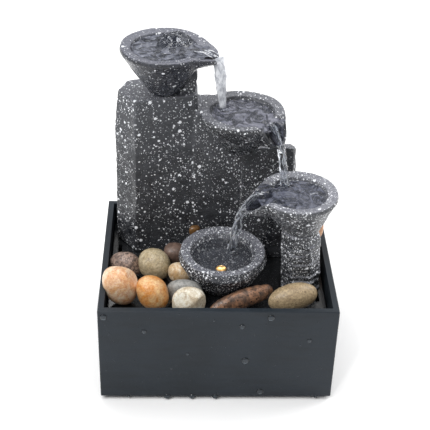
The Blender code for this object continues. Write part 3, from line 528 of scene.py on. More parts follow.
@dataclass(frozen=True)
class MouldedFinish:
    """Plastic, rubber, ceramic or metal with a fine moulding grain and rubbed patches."""

    name: str
    colour: Colour
    worn: Colour
    roughness: float = 0.45
    metallic: float = 0.0
    grain: float = 900.0
    depth: float = 0.00008
    gloss: float = 0.0

    def build(self) -> bpy.types.Material:
        """Builds the moulded piece's material.

        Returns:
            The material.
        """
        s = Surface.start(self.name)
        grain = s.group(Groups.grain, Grain=self.grain)
        s.set(Base_Color=s.graph.mix(grain.outputs["Wear"], self.colour, self.worn),
              Roughness=s.graph.span(grain.outputs["Wear"], 0.0, 1.0, self.roughness, self.roughness + 0.12),
              Metallic=self.metallic, Coat_Weight=self.gloss,
              Normal=s.bump(grain.outputs["Height"], 0.4, self.depth))
        return s.material


@dataclass(frozen=True)
class SlateFinish:
    """The basin's satin slate: faint horizontal strokes, chalky scuffs and fine pits."""

    name: str = "basin_slate"
    dark: Colour = (0.0098, 0.0142, 0.0192)
    light: Colour = (0.0170, 0.0232, 0.0310)
    scuff: Colour = (0.085, 0.095, 0.105)

    def build(self) -> bpy.types.Material:
        """Builds the slate's material.

        Returns:
            The material.
        """
        s = Surface.start(self.name)
        g = s.graph
        strokes = g.clouds(g.stretched(s.place, (0.25, 0.25, 1.6)), 120.0, 5.0, 0.6, 0.3)
        broad = g.clouds(s.place, 18.0, 3.0, 0.5, 0.5)
        grit = g.clouds(s.place, 1500.0, 3.0, 0.7)
        colour = g.mix(g.span(g.math("ADD", g.times(strokes, 0.5), g.times(broad, 0.5)),
                              0.36, 0.64), self.dark, self.light)
        scuffs = g.times(g.dots(g.stretched(s.place, (1.0, 1.0, 0.45)), 0.0060, 0.05, 0.20), 0.5)
        colour = g.mix(scuffs, colour, self.scuff)
        s.set(Base_Color=colour, Roughness=g.span(strokes, 0.3, 0.7, 0.40, 0.54), Specular_IOR_Level=0.28,
              Normal=s.bump(grit, 0.25, 0.00012, s.bump(strokes, 0.30, 0.0006)))
        return s.material


@dataclass(frozen=True)
class PebbleFinish:
    """One tumbled stone's colours and how they are broken up."""

    name: str
    kind: Pebble
    base: Colour
    second: Colour
    speck: Colour
    patch: float = 130.0
    contrast: float = 0.6
    specks: float = 0.3
    gloss: float = 0.15

    def build(self) -> bpy.types.Material:
        """Builds the stone's material.

        Returns:
            The material.
        """
        s = Surface.start(self.name)
        bands = 0.3 if self.kind is Pebble.TWO_TONE else 0.0
        specks = self.specks * (1.6 if self.kind is Pebble.SPECKLED else 1.0)
        skin = s.group(Groups.pebble, Base=self.base, Second=self.second, Speck=self.speck,
                       Patch_Scale=self.patch, Band_Scale=self.patch * 0.35, Bands=bands,
                       Specks=min(1.0, specks), Contrast=self.contrast)
        colour = skin.outputs["Color"]
        if self.kind is Pebble.TWO_TONE:
            g = s.graph
            split = g.math("ADD", g.along(s.place, 2), g.times(g.clouds(s.place, 90.0), 0.004))
            colour = g.mix(g.span(split, 0.0745, 0.0765), self.second, colour)
        s.set(Base_Color=colour, Roughness=skin.outputs["Roughness"], Coat_Weight=self.gloss,
              Coat_Roughness=0.12, Normal=s.bump(skin.outputs["Height"], 0.35, 0.00025))
        return s.material


@dataclass(frozen=True)
class PoolFinish:
    """Moving water in a bowl: pale swirls over a dark depth, partly aerated water and partly painted
    reflection of the bright surround, with a glossy skin.
    """

    name: str
    deep: Colour
    milk: Colour
    # The pale crest colour: foam on the ripple crests, and the painted highlights on the boiling dome.
    foam_and_glint: Colour = (0.70, 0.72, 0.78)
    cover: float = 0.75
    milk_and_sheen_share: float = 0.6
    boil: Triple | None = None
    chop: float = 0.0016

    def build(self) -> bpy.types.Material:
        """Builds the pool's material.

        Returns:
            The material.
        """
        s = Surface.start(self.name)
        g = s.graph
        swirl = g.clouds(s.place, 85.0, 4.0, 0.55, 2.2)
        ripple = g.clouds(s.place, 210.0, 3.0, 0.55, 0.8)
        # Milk swirls: partly aerated water, partly painted reflection of the bright surround.
        share = g.times(g.span(swirl, 0.36, 0.66), self.milk_and_sheen_share)
        colour = g.mix(share, self.deep, self.milk)
        crest = g.span(ripple, 0.62, 0.76)
        colour = g.mix(g.times(crest, 0.35), colour, self.foam_and_glint)
        cover = g.math("ADD", g.times(share, 0.35), self.cover, clamp=True)
        if self.boil is not None:
            # Boiling dome: the thin bright lines along its lumps are painted highlights, in the pale crest
            # colour.
            lumps = g.math("ABSOLUTE", g.math("SUBTRACT", g.clouds(s.place, 190.0, 2.0, 0.5, 1.0), 0.5))
            dome_painted_highlights = g.mix(g.times(g.span(lumps, 0.020, 0.002), 0.75),
                          tuple(c * 1.2 for c in self.deep), self.foam_and_glint)
            colour = g.mix(self.near(g, s.place, self.boil, 0.0100, 0.0140), colour, dome_painted_highlights)
        s.set(Base_Color=colour, Roughness=0.05, IOR=1.33, Specular_IOR_Level=0.75, Alpha=cover,
              Normal=s.bump(ripple, 0.4, self.chop))
        return s.material

    @staticmethod
    def near(g: Graph, place: bpy.types.NodeSocket, spot: Triple, inner: float,
             outer: float) -> bpy.types.NodeSocket:
        """Masks the surface round a place, seen from above.

        Args:
            g: the material's graph.
            place: the coordinates' socket.
            spot: the middle of the mask.
            inner: the radius that it fills.
            outer: the radius where it ends.

        Returns:
            A mask that is 1 near the place.
        """
        flat = g.add("ShaderNodeVectorMath", operation="MULTIPLY")
        g.feed(flat.inputs[0], place)
        flat.inputs[1].default_value = (1.0, 1.0, 0.0)
        far = g.add("ShaderNodeVectorMath", operation="DISTANCE")
        g.feed(far.inputs[0], flat.outputs[0])
        far.inputs[1].default_value = (spot[0], spot[1], 0.0)
        return g.span(far.outputs["Value"], inner, outer, 1.0, 0.0)


@dataclass(frozen=True)
class ClearFinish:
    """Falling water, beads and clear tube: real glass-like transmission with a wavy skin."""

    name: str
    tint: Colour = (0.86, 0.88, 0.92)
    roughness: float = 0.05
    ior: float = 1.33
    waves: float = 150.0
    depth: float = 0.0005
    milk: Colour | None = None

    def build(self) -> bpy.types.Material:
        """Builds the clear material.

        Returns:
            The material.
        """
        s = Surface.start(self.name)
        g = s.graph
        ripple = g.clouds(g.stretched(s.place, (1.0, 1.0, 0.4)), self.waves, 4.0, 0.6, 0.6)
        tint: object = self.tint
        if self.milk is not None:
            tint = g.mix(g.span(ripple, 0.45, 0.7), self.tint, self.milk)
        s.set(Base_Color=tint, Transmission_Weight=1.0, Roughness=self.roughness, IOR=self.ior,
              Normal=s.bump(ripple, 0.6, self.depth))
        return s.material


@dataclass(frozen=True)
class BeadFinish:
    """Beads of water on the slate, drawn opaque: painted shade above and round their rims, with painted light
    gathered at their lower edge.
    """

    name: str = "water_beads"
    shade: Colour = (0.006, 0.008, 0.010)
    body: Colour = (0.020, 0.027, 0.035)
    painted_low_light: Colour = (0.115, 0.140, 0.165)

    def build(self) -> bpy.types.Material:
        """Builds the beads' material.

        Returns:
            The material.
        """
        s = Surface.start(self.name)
        g = s.graph
        ripple = g.clouds(s.place, 900.0, 2.0)
        # Painted light low in each bead, then painted shade round its rim.
        low = g.span(g.math("ADD", g.noted("sag"), g.times(ripple, 0.08)), 0.42, 0.10)
        colour = g.mix(low, self.body, self.painted_low_light)
        colour = g.mix(g.span(g.noted("rim"), 0.35, 0.62), colour, self.shade)
        s.set(Base_Color=colour, Roughness=0.06, Specular_IOR_Level=0.45, Normal=s.bump(ripple, 0.1, 0.0001))
        return s.material


@dataclass(frozen=True)
class WhiteWaterAndGlintFinish:
    """Aerated water with painted highlight: the white streaks and froth where a fall breaks, partly aeration
    and partly painted highlight of the clear sheet.
    """

    name: str = "white_water_and_glint"
    cover: float = 0.8
    shade: Colour = (0.55, 0.58, 0.64)
    # crest: the brightest white, partly froth and partly painted highlight.
    crest: Colour = (0.95, 0.96, 0.98)
    thin: float = 0.32

    def build(self) -> bpy.types.Material:
        """Builds the froth's material.

        Returns:
            The material.
        """
        s = Surface.start(self.name)
        g = s.graph
        froth = g.clouds(g.stretched(s.place, (1.0, 1.0, 0.5)), 420.0, 4.0, 0.65, 0.6)
        s.set(Base_Color=g.mix(g.span(froth, 0.35, 0.65), self.shade, self.crest),
              Roughness=0.12, Specular_IOR_Level=0.7,
              Alpha=g.times(g.span(froth, self.thin, self.thin + 0.23), self.cover),
              Normal=s.bump(froth, 0.5, 0.0008))
        return s.material


@dataclass(frozen=True)
class GlowFinish:
    """The lit lens of the lamp under the lowest pool."""

    middle: Triple
    name: str = "lamp_glow"
    warm: Colour = (1.0, 0.42, 0.08)
    hot: Colour = (1.0, 0.74, 0.32)
    power: float = 7.0

    def build(self) -> bpy.types.Material:
        """Builds the glowing lens's material.

        Returns:
            The material.
        """
        s = Surface.start(self.name)
        g = s.graph
        beads = g.clouds(s.place, 900.0, 2.0)
        core = PoolFinish.near(g, s.place, self.middle, 0.0016, 0.0040)
        core = g.times(core, g.span(g.clouds(s.place, 420.0, 3.0), 0.44, 0.60, 0.04, 1.0))
        glow = g.mix(g.span(beads, 0.35, 0.65), self.warm, self.hot)
        s.set(Base_Color=g.mix(beads, self.warm, self.hot), Roughness=0.15,
              Emission_Color=g.mix(core, (0.0, 0.0, 0.0), glow),
              Emission_Strength=self.power, Normal=s.bump(beads, 0.3, 0.0003))
        return s.material


# ---- mesh helpers -----------------------------------------------------------------------------------------

def new_object(name: str, bm: bmesh.types.BMesh, material: bpy.types.Material,
               smooth: bool = True) -> bpy.types.Object:
    """Turns a bmesh into a shaded object.

    Args:
        name: the object's name.
        bm: its mesh, which is freed.
        material: its material.
        smooth: whether its faces are smooth.

    Returns:
        The new object.
    """
    mesh = bpy.data.meshes.new(name)
    bm.to_mesh(mesh)
    bm.free()
    mesh.materials.append(material)
    mesh.polygons.foreach_set("use_smooth", [smooth] * len(mesh.polygons))
    made = bpy.data.objects.new(name, mesh)
    bpy.context.scene.collection.objects.link(made)
    return made


def seat(piece: bpy.types.Object, body: Body, slot: str, *nodes: str) -> bpy.types.Object:
    """Rides a finished piece on its body and reports it.

    Args:
        piece: the piece.
        body: what it moves with.
        slot: not used.
        nodes: the nodes that it stands for.

    Returns:
        The piece.
    """
    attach(piece, body.value)
    if nodes:
        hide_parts(*nodes)
    LOG.info("%s: %d faces on %s", piece.name, len(piece.data.polygons), body.value)
    return piece


def water_piece(name: str, bm: bmesh.types.BMesh, material: bpy.types.Material) -> bpy.types.Object:
    """Makes a piece of water from a bmesh and rides it on the rockery."""
    return seat(new_object(name, bm, material), Body.ROCKERY, WATER_SLOT)


def dress(piece: bpy.types.Object, material: bpy.types.Material) -> None:
    """Gives a new piece one material and smooth faces."""
    piece.data.materials.clear()
    piece.data.materials.append(material)
    piece.data.polygons.foreach_set("use_smooth", [True] * len(piece.data.polygons))
    piece.data.update()


def welded_copy(node: bpy.types.Object, name: str) -> bpy.types.Object:
    """Copies a node's mesh into a new object with its split points joined.

    Args:
        node: the node to copy.
        name: the copy's name.

    Returns:
        The copy, with no material.
    """
    bm = bmesh.new()
    bm.from_mesh(node.data)
    bmesh.ops.remove_doubles(bm, verts=bm.verts, dist=2e-6)
    bm.normal_update()
    mesh = bpy.data.meshes.new(name)
    bm.to_mesh(mesh)
    bm.free()
    made = bpy.data.objects.new(name, mesh)
    bpy.context.scene.collection.objects.link(made)
    return made


def applied(piece: bpy.types.Object) -> None:
    """Applies a piece's modifiers to its mesh."""
    depsgraph = bpy.context.evaluated_depsgraph_get()
    mesh = bpy.data.meshes.new_from_object(piece.evaluated_get(depsgraph))
    piece.modifiers.clear()
    old = piece.data
    piece.data = mesh
    bpy.data.meshes.remove(old)


def points_of(mesh: bpy.types.Mesh) -> tuple[np.ndarray, np.ndarray]:
    """Reads a mesh's points and their normals as arrays."""
    count = len(mesh.vertices)
    spots, normals = np.zeros(count * 3), np.zeros(count * 3)
    mesh.vertices.foreach_get("co", spots)
    mesh.vertices.foreach_get("normal", normals)
    return spots.reshape(-1, 3), normals.reshape(-1, 3)


def tree_of(name: str) -> BVHTree:
    """Makes a search tree of a node's own mesh."""
    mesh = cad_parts[name].data
    return BVHTree.FromPolygons([v.co[:] for v in mesh.vertices], [p.vertices[:] for p in mesh.polygons])


def blob(bm: bmesh.types.BMesh, centre: Vector, radii: Triple, out: Vector = Vector((0, 0, 1)),
         fine: int = 2) -> None:
    """Adds a flattened bead of water to a mesh, and notes how low and how near its wall each point is.

    Args:
        bm: the mesh.
        centre: the bead's middle.
        radii: its half sizes.
        out: the direction away from what it sits on.
        fine: how finely it is divided.
    """
    layers = bm.verts.layers.float
    sag = layers.get("sag") or layers.new("sag")
    rim = layers.get("rim") or layers.new("rim")
    shape = Matrix.Translation(centre) @ Matrix.Diagonal((*radii, 1.0))
    made = bmesh.ops.create_icosphere(bm, subdivisions=fine, radius=1.0, matrix=shape)
    for vert in made["verts"]:
        unit = Vector([(c - m) / r for c, m, r in zip(vert.co, centre, radii)])
        vert[sag] = 0.5 + 0.5 * unit.z
        vert[rim] = 1.0 - max(0.0, unit.dot(out))


def tube(bm: bmesh.types.BMesh, spine: list[Vector], widths: list[tuple[float, float]], across: Vector,
         ring: int = 20, seed: float = 0.0, wobble: float = 0.12) -> None:
    """Adds a wavy strand of water, closed at its ends, to a mesh.

    Args:
        bm: the mesh.
        spine: points down its middle.
        widths: half width and half thickness at each point.
        across: the direction of its width.
        ring: points round it.
        seed: where its waves start.
        wobble: how uneven it is.
    """
    rows = []
    for n, (point, (wide, thick)) in enumerate(zip(spine, widths)):
        ahead = spine[min(n + 1, len(spine) - 1)] - spine[max(n - 1, 0)]
        side = (across - ahead.normalized() * across.dot(ahead.normalized())).normalized()
        face = ahead.normalized().cross(side)
        row = []
        for k in range(ring):
            angle = 2 * math.pi * k / ring
            swell = 1.0 + wobble * noise.noise(Vector((math.cos(angle) * 1.3 + seed, math.sin(angle) * 1.3,
                                                       n * 0.22 + seed)))
            row.append(bm.verts.new(point + (side * math.cos(angle) * wide + face * math.sin(angle) * thick)
                                    * swell))
        rows.append(row)
    for a, b in zip(rows, rows[1:]):
        for k in range(ring):
            bm.faces.new((a[k], a[(k + 1) % ring], b[(k + 1) % ring], b[k]))
    bm.faces.new(rows[0][::-1])
    bm.faces.new(rows[-1])


# ---- rockery ----------------------------------------------------------------------------------------------

@dataclass
class Relief:
    """How far a rock's skin is thrown up by lumps, layers and grit, in metres."""

    voxel: float = 0.9 * MM
    soften: int = 2
    lumps: float = 0.45 * MM
    layers: float = 0.30 * MM
    grit: float = 0.12 * MM
    ledges: float = 0.0
    seed: float = 0.0
    lump_scale: float = 130.0
    layer_scale: tuple[float, float] = (60.0, 520.0)
    grit_scale: float = 900.0
    ledge_scale: tuple[float, float] = (70.0, 380.0)
    ledge_edge: float = 4.0

    def at(self, spot: np.ndarray) -> float:
        """Measures the relief at a point.

        Args:
            spot: the point, in metres.

        Returns:
            How far the skin moves outwards there.
        """
        x, y, z = (float(c) for c in spot)
        s = self.seed
        big, fine = self.lump_scale, self.grit_scale
        lumps = noise.fractal(Vector((x * big + s, y * big, z * big)), 0.9, 2.1, 3)
        flat, steep = self.layer_scale
        layers = noise.noise(Vector((x * flat + s, y * flat, z * steep)))
        grit = noise.noise(Vector((x * fine, y * fine + s, z * fine)))
        out = self.lumps * lumps + self.layers * layers + self.grit * grit
        if self.ledges:
            flat, steep = self.ledge_scale
            shelf = noise.noise(Vector((x * flat + s, y * flat, z * steep)))
            out += self.ledges * math.tanh(self.ledge_edge * shelf)
        return out


@dataclass
class Rockery:
    """The cast rocks and bowls, each re-skinned in fine relief over its own node."""

    reliefs: dict[str, Relief] = field(default_factory=lambda: {
        "rock_tower": Relief(voxel=0.8 * MM, soften=1, lumps=0.22 * MM, layers=0.22 * MM, grit=0.16 * MM,
                             seed=3.0),
        "right_pillar": Relief(voxel=0.6 * MM, lumps=0.55 * MM, layers=0.45 * MM, ledges=0.55 * MM, seed=9.0),
        "top_bowl": Relief(voxel=0.7 * MM, lumps=0.20 * MM, layers=0.08 * MM, grit=0.08 * MM, seed=1.0),
        "second_bowl": Relief(voxel=0.7 * MM, lumps=0.28 * MM, layers=0.10 * MM, grit=0.12 * MM, seed=5.0),
        "third_bowl": Relief(voxel=0.7 * MM, lumps=0.25 * MM, layers=0.10 * MM, grit=0.12 * MM, seed=7.0),
        "lowest_bowl": Relief(voxel=0.7 * MM, lumps=0.28 * MM, layers=0.08 * MM, grit=0.12 * MM, seed=13.0),
    })

    def finish_for(self, name: str) -> RockFinish:
        """Chooses how wet, pale and flecked one rock is, and how much painted top light and painted wet sheen
        it takes.
        """
        # Pillar, third bowl and lowest bowl are paler and more flecked: partly heavier real paint flecks,
        # partly painted wet sheen and glints.
        pale = ((0.016, 0.018, 0.021), (0.120, 0.125, 0.138))
        return {
            "rock_tower": RockFinish("rock_tower_skin", dark=(0.010, 0.011, 0.014), flecks=1.0, wetness=0.42,
                                     height_tone_share=0.85, darkest_below=0.130),
            "right_pillar": RockFinish("pillar_skin", *pale, flecks=2.8, wetness=0.60, painted_top_light_share=1.0),
            # The top bowl's third colour is its painted top light.
            "top_bowl": RockFinish("top_bowl_skin", (0.009, 0.010, 0.014), (0.058, 0.064, 0.082),
                                   (0.175, 0.180, 0.220), flecks=0.65, wetness=0.60, painted_top_light_share=0.65,
                                   height_tone_share=0.0),
            "second_bowl": RockFinish("second_bowl_skin", flecks=0.85, wetness=0.60, painted_top_light_share=0.5,
                                      height_tone_share=0.1),
            "third_bowl": RockFinish("third_bowl_skin", *pale, flecks=1.6, wetness=0.58, painted_top_light_share=0.9),
            "lowest_bowl": RockFinish("lowest_bowl_skin", (0.012, 0.013, 0.016), (0.105, 0.112, 0.130),
                                      flecks=2.6, wetness=0.85, painted_top_light_share=0.85),
        }[name]

    def carve(self, name: str, relief: Relief) -> bpy.types.Object:
        """Re-skins one rock.

        Args:
            name: the node's name.
            relief: how its skin is thrown up.

        Returns:
            The rock that stands for the node.
        """
        rock = welded_copy(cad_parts[name], name + "_stone")
        remesh = rock.modifiers.new("skin", "REMESH")
        remesh.mode, remesh.voxel_size = "VOXEL", relief.voxel * 1.0
        soften = rock.modifiers.new("soften", "SMOOTH")
        soften.factor, soften.iterations = 0.5, relief.soften
        applied(rock)
        spots, normals = points_of(rock.data)
        push = np.array([relief.at(spot) for spot in spots])
        rock.data.vertices.foreach_set("co", (spots + normals * push[:, None]).ravel())
        dress(rock, self.finish_for(name).build())
        return seat(rock, Body.ROCKERY, "cast_stone", name)

    def build(self) -> None:
        """Builds every rock and bowl."""
        for name, relief in self.reliefs.items():
            self.carve(name, relief)


# ---- water ------------------------------------------------------------------------------------------------

@dataclass
class Bowl:
    """One bowl's water: where it lies, how high, and the lip it spills from."""

    node: str
    level: float
    lip: float | None
    tip: Triple | None
    centre_from_high: bool = False

    def centre(self) -> Vector:
        """Finds the middle of the bowl's round rim."""
        low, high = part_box(self.node)
        radius = (high.y - low.y) / 2
        x = high.x - radius if self.centre_from_high else low.x + radius
        return Vector((x, (low.y + high.y) / 2, self.level))

    def radius(self) -> float:
        """Finds the outer radius of the bowl's rim."""
        low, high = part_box(self.node)
        return (high.y - low.y) / 2


@dataclass
class Pool:
    """The moving sheet of water that fills a bowl and runs out along its lip."""

    bowl: Bowl
    finish: PoolFinish
    swell: float = 0.45 * MM
    hits: tuple[tuple[Triple, float], ...] = ()
    bubbler: Vector | None = None
    spokes: int = 200
    rings: int = 44
    wave_scale: float = 260.0
    ring_fade: float = 6.0 * MM
    ring_gap: float = 0.9 * MM
    dome_reach: float = 11.5 * MM
    dome_rise: float = 7.2 * MM
    dome_lumps: float = 0.42
    lip_open: float = 5.0
    lip_fade: float = 8.0
    run_out: tuple[float, float] = (0.6, 0.35)
    film: float = 1.3 * MM

    def wave(self, x: float, y: float) -> float:
        """Measures the water's rise above its level at a place."""
        place = Vector((x * self.wave_scale, y * self.wave_scale, self.bowl.level * 90))
        rise = self.swell * noise.fractal(place, 0.8, 2.0, 3)
        for (hx, hy, _), strength in self.hits:
            far = math.hypot(x - hx, y - hy)
            rise += strength * math.exp(-far / self.ring_fade) * math.cos(far / self.ring_gap)
        if self.bubbler is not None:
            far = math.hypot(x - self.bubbler.x, y - self.bubbler.y)
            dome = math.exp(-((far / self.dome_reach) ** 4.0))
            lump = 1.0 + self.dome_lumps * noise.fractal(Vector((x * 170, y * 170, 4.2)), 1.0, 2.0, 2)
            rise += self.dome_rise * dome * lump
        return rise

    def build(self) -> bpy.types.Object:
        """Builds the pool inside its bowl.

        Returns:
            The water's object.
        """
        walls = tree_of(self.bowl.node)
        centre, outer = self.bowl.centre(), self.bowl.radius()
        lip = math.radians(self.bowl.lip) if self.bowl.lip is not None else None
        bm = bmesh.new()
        rows = []
        for k in range(self.spokes):
            angle = 2 * math.pi * k / self.spokes
            way = Vector((math.cos(angle), math.sin(angle), 0.0))
            off = abs((angle - lip + math.pi) % (2 * math.pi) - math.pi) if lip is not None else math.pi
            notch = max(0.0, 1.0 - max(0.0, math.degrees(off) - self.lip_open) / self.lip_fade)
            row = self.spoke(walls, centre, way, outer, notch)
            rows.append([bm.verts.new(p) for p in row])
        hub = bm.verts.new(centre + Vector((0, 0, self.wave(centre.x, centre.y))))
        for a, b in zip(rows, rows[1:] + rows[:1]):
            bm.faces.new((hub, a[0], b[0]))
            for n in range(self.rings - 1):
                bm.faces.new((a[n], a[n + 1], b[n + 1], b[n]))
        return water_piece(self.bowl.node + "_water", bm, self.finish.build())

    def spoke(self, walls: BVHTree, centre: Vector, way: Vector, outer: float, notch: float) -> list[Vector]:
        """Lays the water's points from the bowl's middle outwards.

        Args:
            walls: the bowl's surface.
            centre: the bowl's middle at the water's level.
            way: the direction of the spoke.
            outer: the rim's radius.
            notch: 1 where the spoke runs down the lip, 0 away from it.

        Returns:
            The points, as many as the pool has rings.
        """
        start = centre + way * (outer * 0.35) + Vector((0, 0, -0.0002))
        hit = walls.ray_cast(start, way, 0.06)[0]
        shore = (hit - centre).length if hit is not None else outer * 1.25
        shore = min(shore, outer * 1.02)
        if notch > 0 and self.bowl.tip is not None:
            reach = (Vector(self.bowl.tip) - centre).to_2d().length
            shore = shore * (1 - notch) + max(shore, reach) * notch
        points = []
        start_out, length_out = (outer * share for share in self.run_out)
        for n in range(self.rings):
            far = shore * ((n + 1) / self.rings)
            spot = centre + way * far
            z = centre.z + self.wave(spot.x, spot.y) * min(1.0, (shore - far) / 0.002 + 0.15)
            if notch > 0 and far > start_out:
                above = Vector((spot.x, spot.y, centre.z + 0.02))
                floor = walls.ray_cast(above, Vector((0, 0, -1)), 0.06)[0]
                if floor is not None:
                    film = floor.z + self.film
                    drawn = max(0.0, min(1.0, (far - start_out) / length_out))
                    z = z * (1 - drawn * notch) + min(z, max(film, z - 0.02)) * drawn * notch
            points.append(Vector((spot.x, spot.y, z)))
        return points


@dataclass
class Fall:
    """A strand of water that arcs from a lip and breaks in the pool below."""

    name: str
    tip: Triple
    landing: Triple
    bend: float
    wide: tuple[float, float, float]
    thick: tuple[float, float, float]
    seed: int
    source: Triple
    run_in: int = 9
    # froth: widens the white streaks, which are partly aeration and partly painted highlight.
    froth: float = 1.0
    steps: int = 56
    lead_steps: int = 14
    lead_start: float = 0.60
    lead_drop: float = 0.22
    lead_lift: float = 0.6 * MM
    strands: tuple[float, ...] = (-0.82, -0.3, 0.35, 0.85)
    drops: int = 46

    def spine(self) -> list[Vector]:
        """Works out the strand's middle line, level at the lip and steep at the pool."""
        top, foot = Vector(self.tip), Vector(self.landing)
        line = []
        for n in range(self.steps):
            t = n / (self.steps - 1)
            drop = t ** (1.0 + self.bend)
            spot = top.lerp(foot, t)
            spot.z = top.z + (foot.z - top.z) * drop
            line.append(spot)
        return line

    def lead_in(self) -> list[Vector]:
        """Lays the water's way from the pool over the lip to the strand's top."""
        source, tip = Vector(self.source), Vector(self.tip)
        way = []
        for n in range(self.lead_steps):
            t = self.lead_start + (1.0 - self.lead_start) * n / self.lead_steps
            spot = source.lerp(tip, t)
            spot.z = tip.z + (source.z - tip.z) * min(1.0, (1.0 - t) / self.lead_drop) + self.lead_lift
            way.append(spot)
        return way

    def profile(self) -> list[tuple[float, float]]:
        """Works out the strand's half width and half thickness at each step."""
        sizes = []
        for n in range(self.steps):
            t = n / (self.steps - 1)
            pair = []
            for top, middle, foot in (self.wide, self.thick):
                pair.append(top + (middle - top) * min(1.0, t / 0.45) if t < 0.45
                            else middle + (foot - middle) * (t - 0.45) / 0.55)
            sizes.append((pair[0] / 2, pair[1] / 2))
        return sizes

    def build(self, clear: bpy.types.Material, white: bpy.types.Material,
              body: bpy.types.Material) -> None:
        """Builds the strand, its white streaks and the splash at its foot.

        Args:
            clear: the clear water's material.
            white: the white streaks' material, aerated water with painted highlight.
            body: the strand's own material.
        """
        line, sizes, lead = self.spine(), self.profile(), self.lead_in()
        drop = Vector(self.landing) - Vector(self.tip)
        across = Vector((-drop.y, drop.x, 0.0)).normalized()
        run = lead[len(lead) - self.run_in:] if self.run_in else []
        film = [(sizes[0][0] * (1.15 - 0.15 * n / self.lead_steps), sizes[0][1] * 0.30)
                for n in range(len(run))]
        bm = bmesh.new()
        tube(bm, run + line, film + sizes, across, ring=24, seed=self.seed * 1.7, wobble=0.18)
        water_piece(self.name, bm, body)
        rng = random.Random(self.seed)
        self.streaks(rng, lead, line, sizes, across, white)
        self.splash(rng, clear)

    def streaks(self, rng: random.Random, lead: list[Vector], line: list[Vector],
                sizes: list[tuple[float, float]], across: Vector, white: bpy.types.Material) -> None:
        """Winds thin white streaks down the strand, partly aeration and partly painted highlight of the clear
        sheet.

        Args:
            rng: the fall's own draws.
            lead: the way from the pool to the strand's top.
            line: the strand's middle line.
            sizes: its half width and half thickness at each step.
            across: the direction of its width.
            white: the white streaks' material, aerated water with painted highlight.
        """
        bm = bmesh.new()
        for side in self.strands:
            begin = rng.randrange(0, self.steps // 4)
            path, wide = lead[begin // 2:] + line, [sizes[0]] * (len(lead) - begin // 2) + sizes
            strand = [p + across * wide[n][0] * (side + 0.18 * math.sin(n * 0.3 + side * 7))
                      for n, p in enumerate(path)]
            widths = [(rng.uniform(0.20, 0.42) * MM * self.froth, rng.uniform(0.20, 0.35) * MM * self.froth)
                      for _ in strand]
            tube(bm, strand, widths, across, ring=8, seed=side * 9, wobble=0.8)
        water_piece(self.name + "_streaks", bm, white)

    def splash(self, rng: random.Random, clear: bpy.types.Material) -> None:
        """Throws drops up round the strand's foot.

        Args:
            rng: the fall's own draws.
            clear: the clear water's material.
        """
        bm = bmesh.new()
        foot = Vector(self.landing)
        for _ in range(self.drops):
            angle, far = rng.uniform(0, 2 * math.pi), rng.uniform(0.0006, 0.0068)
            size = rng.uniform(0.25, 0.85) * MM
            lift = rng.uniform(0.0, 0.0022) * (1 - far / 0.008)
            blob(bm, foot + Vector((math.cos(angle) * far, math.sin(angle) * far, lift)),
                 (size, size, size * rng.uniform(0.5, 1.0)))
        water_piece(self.name + "_splash", bm, clear)


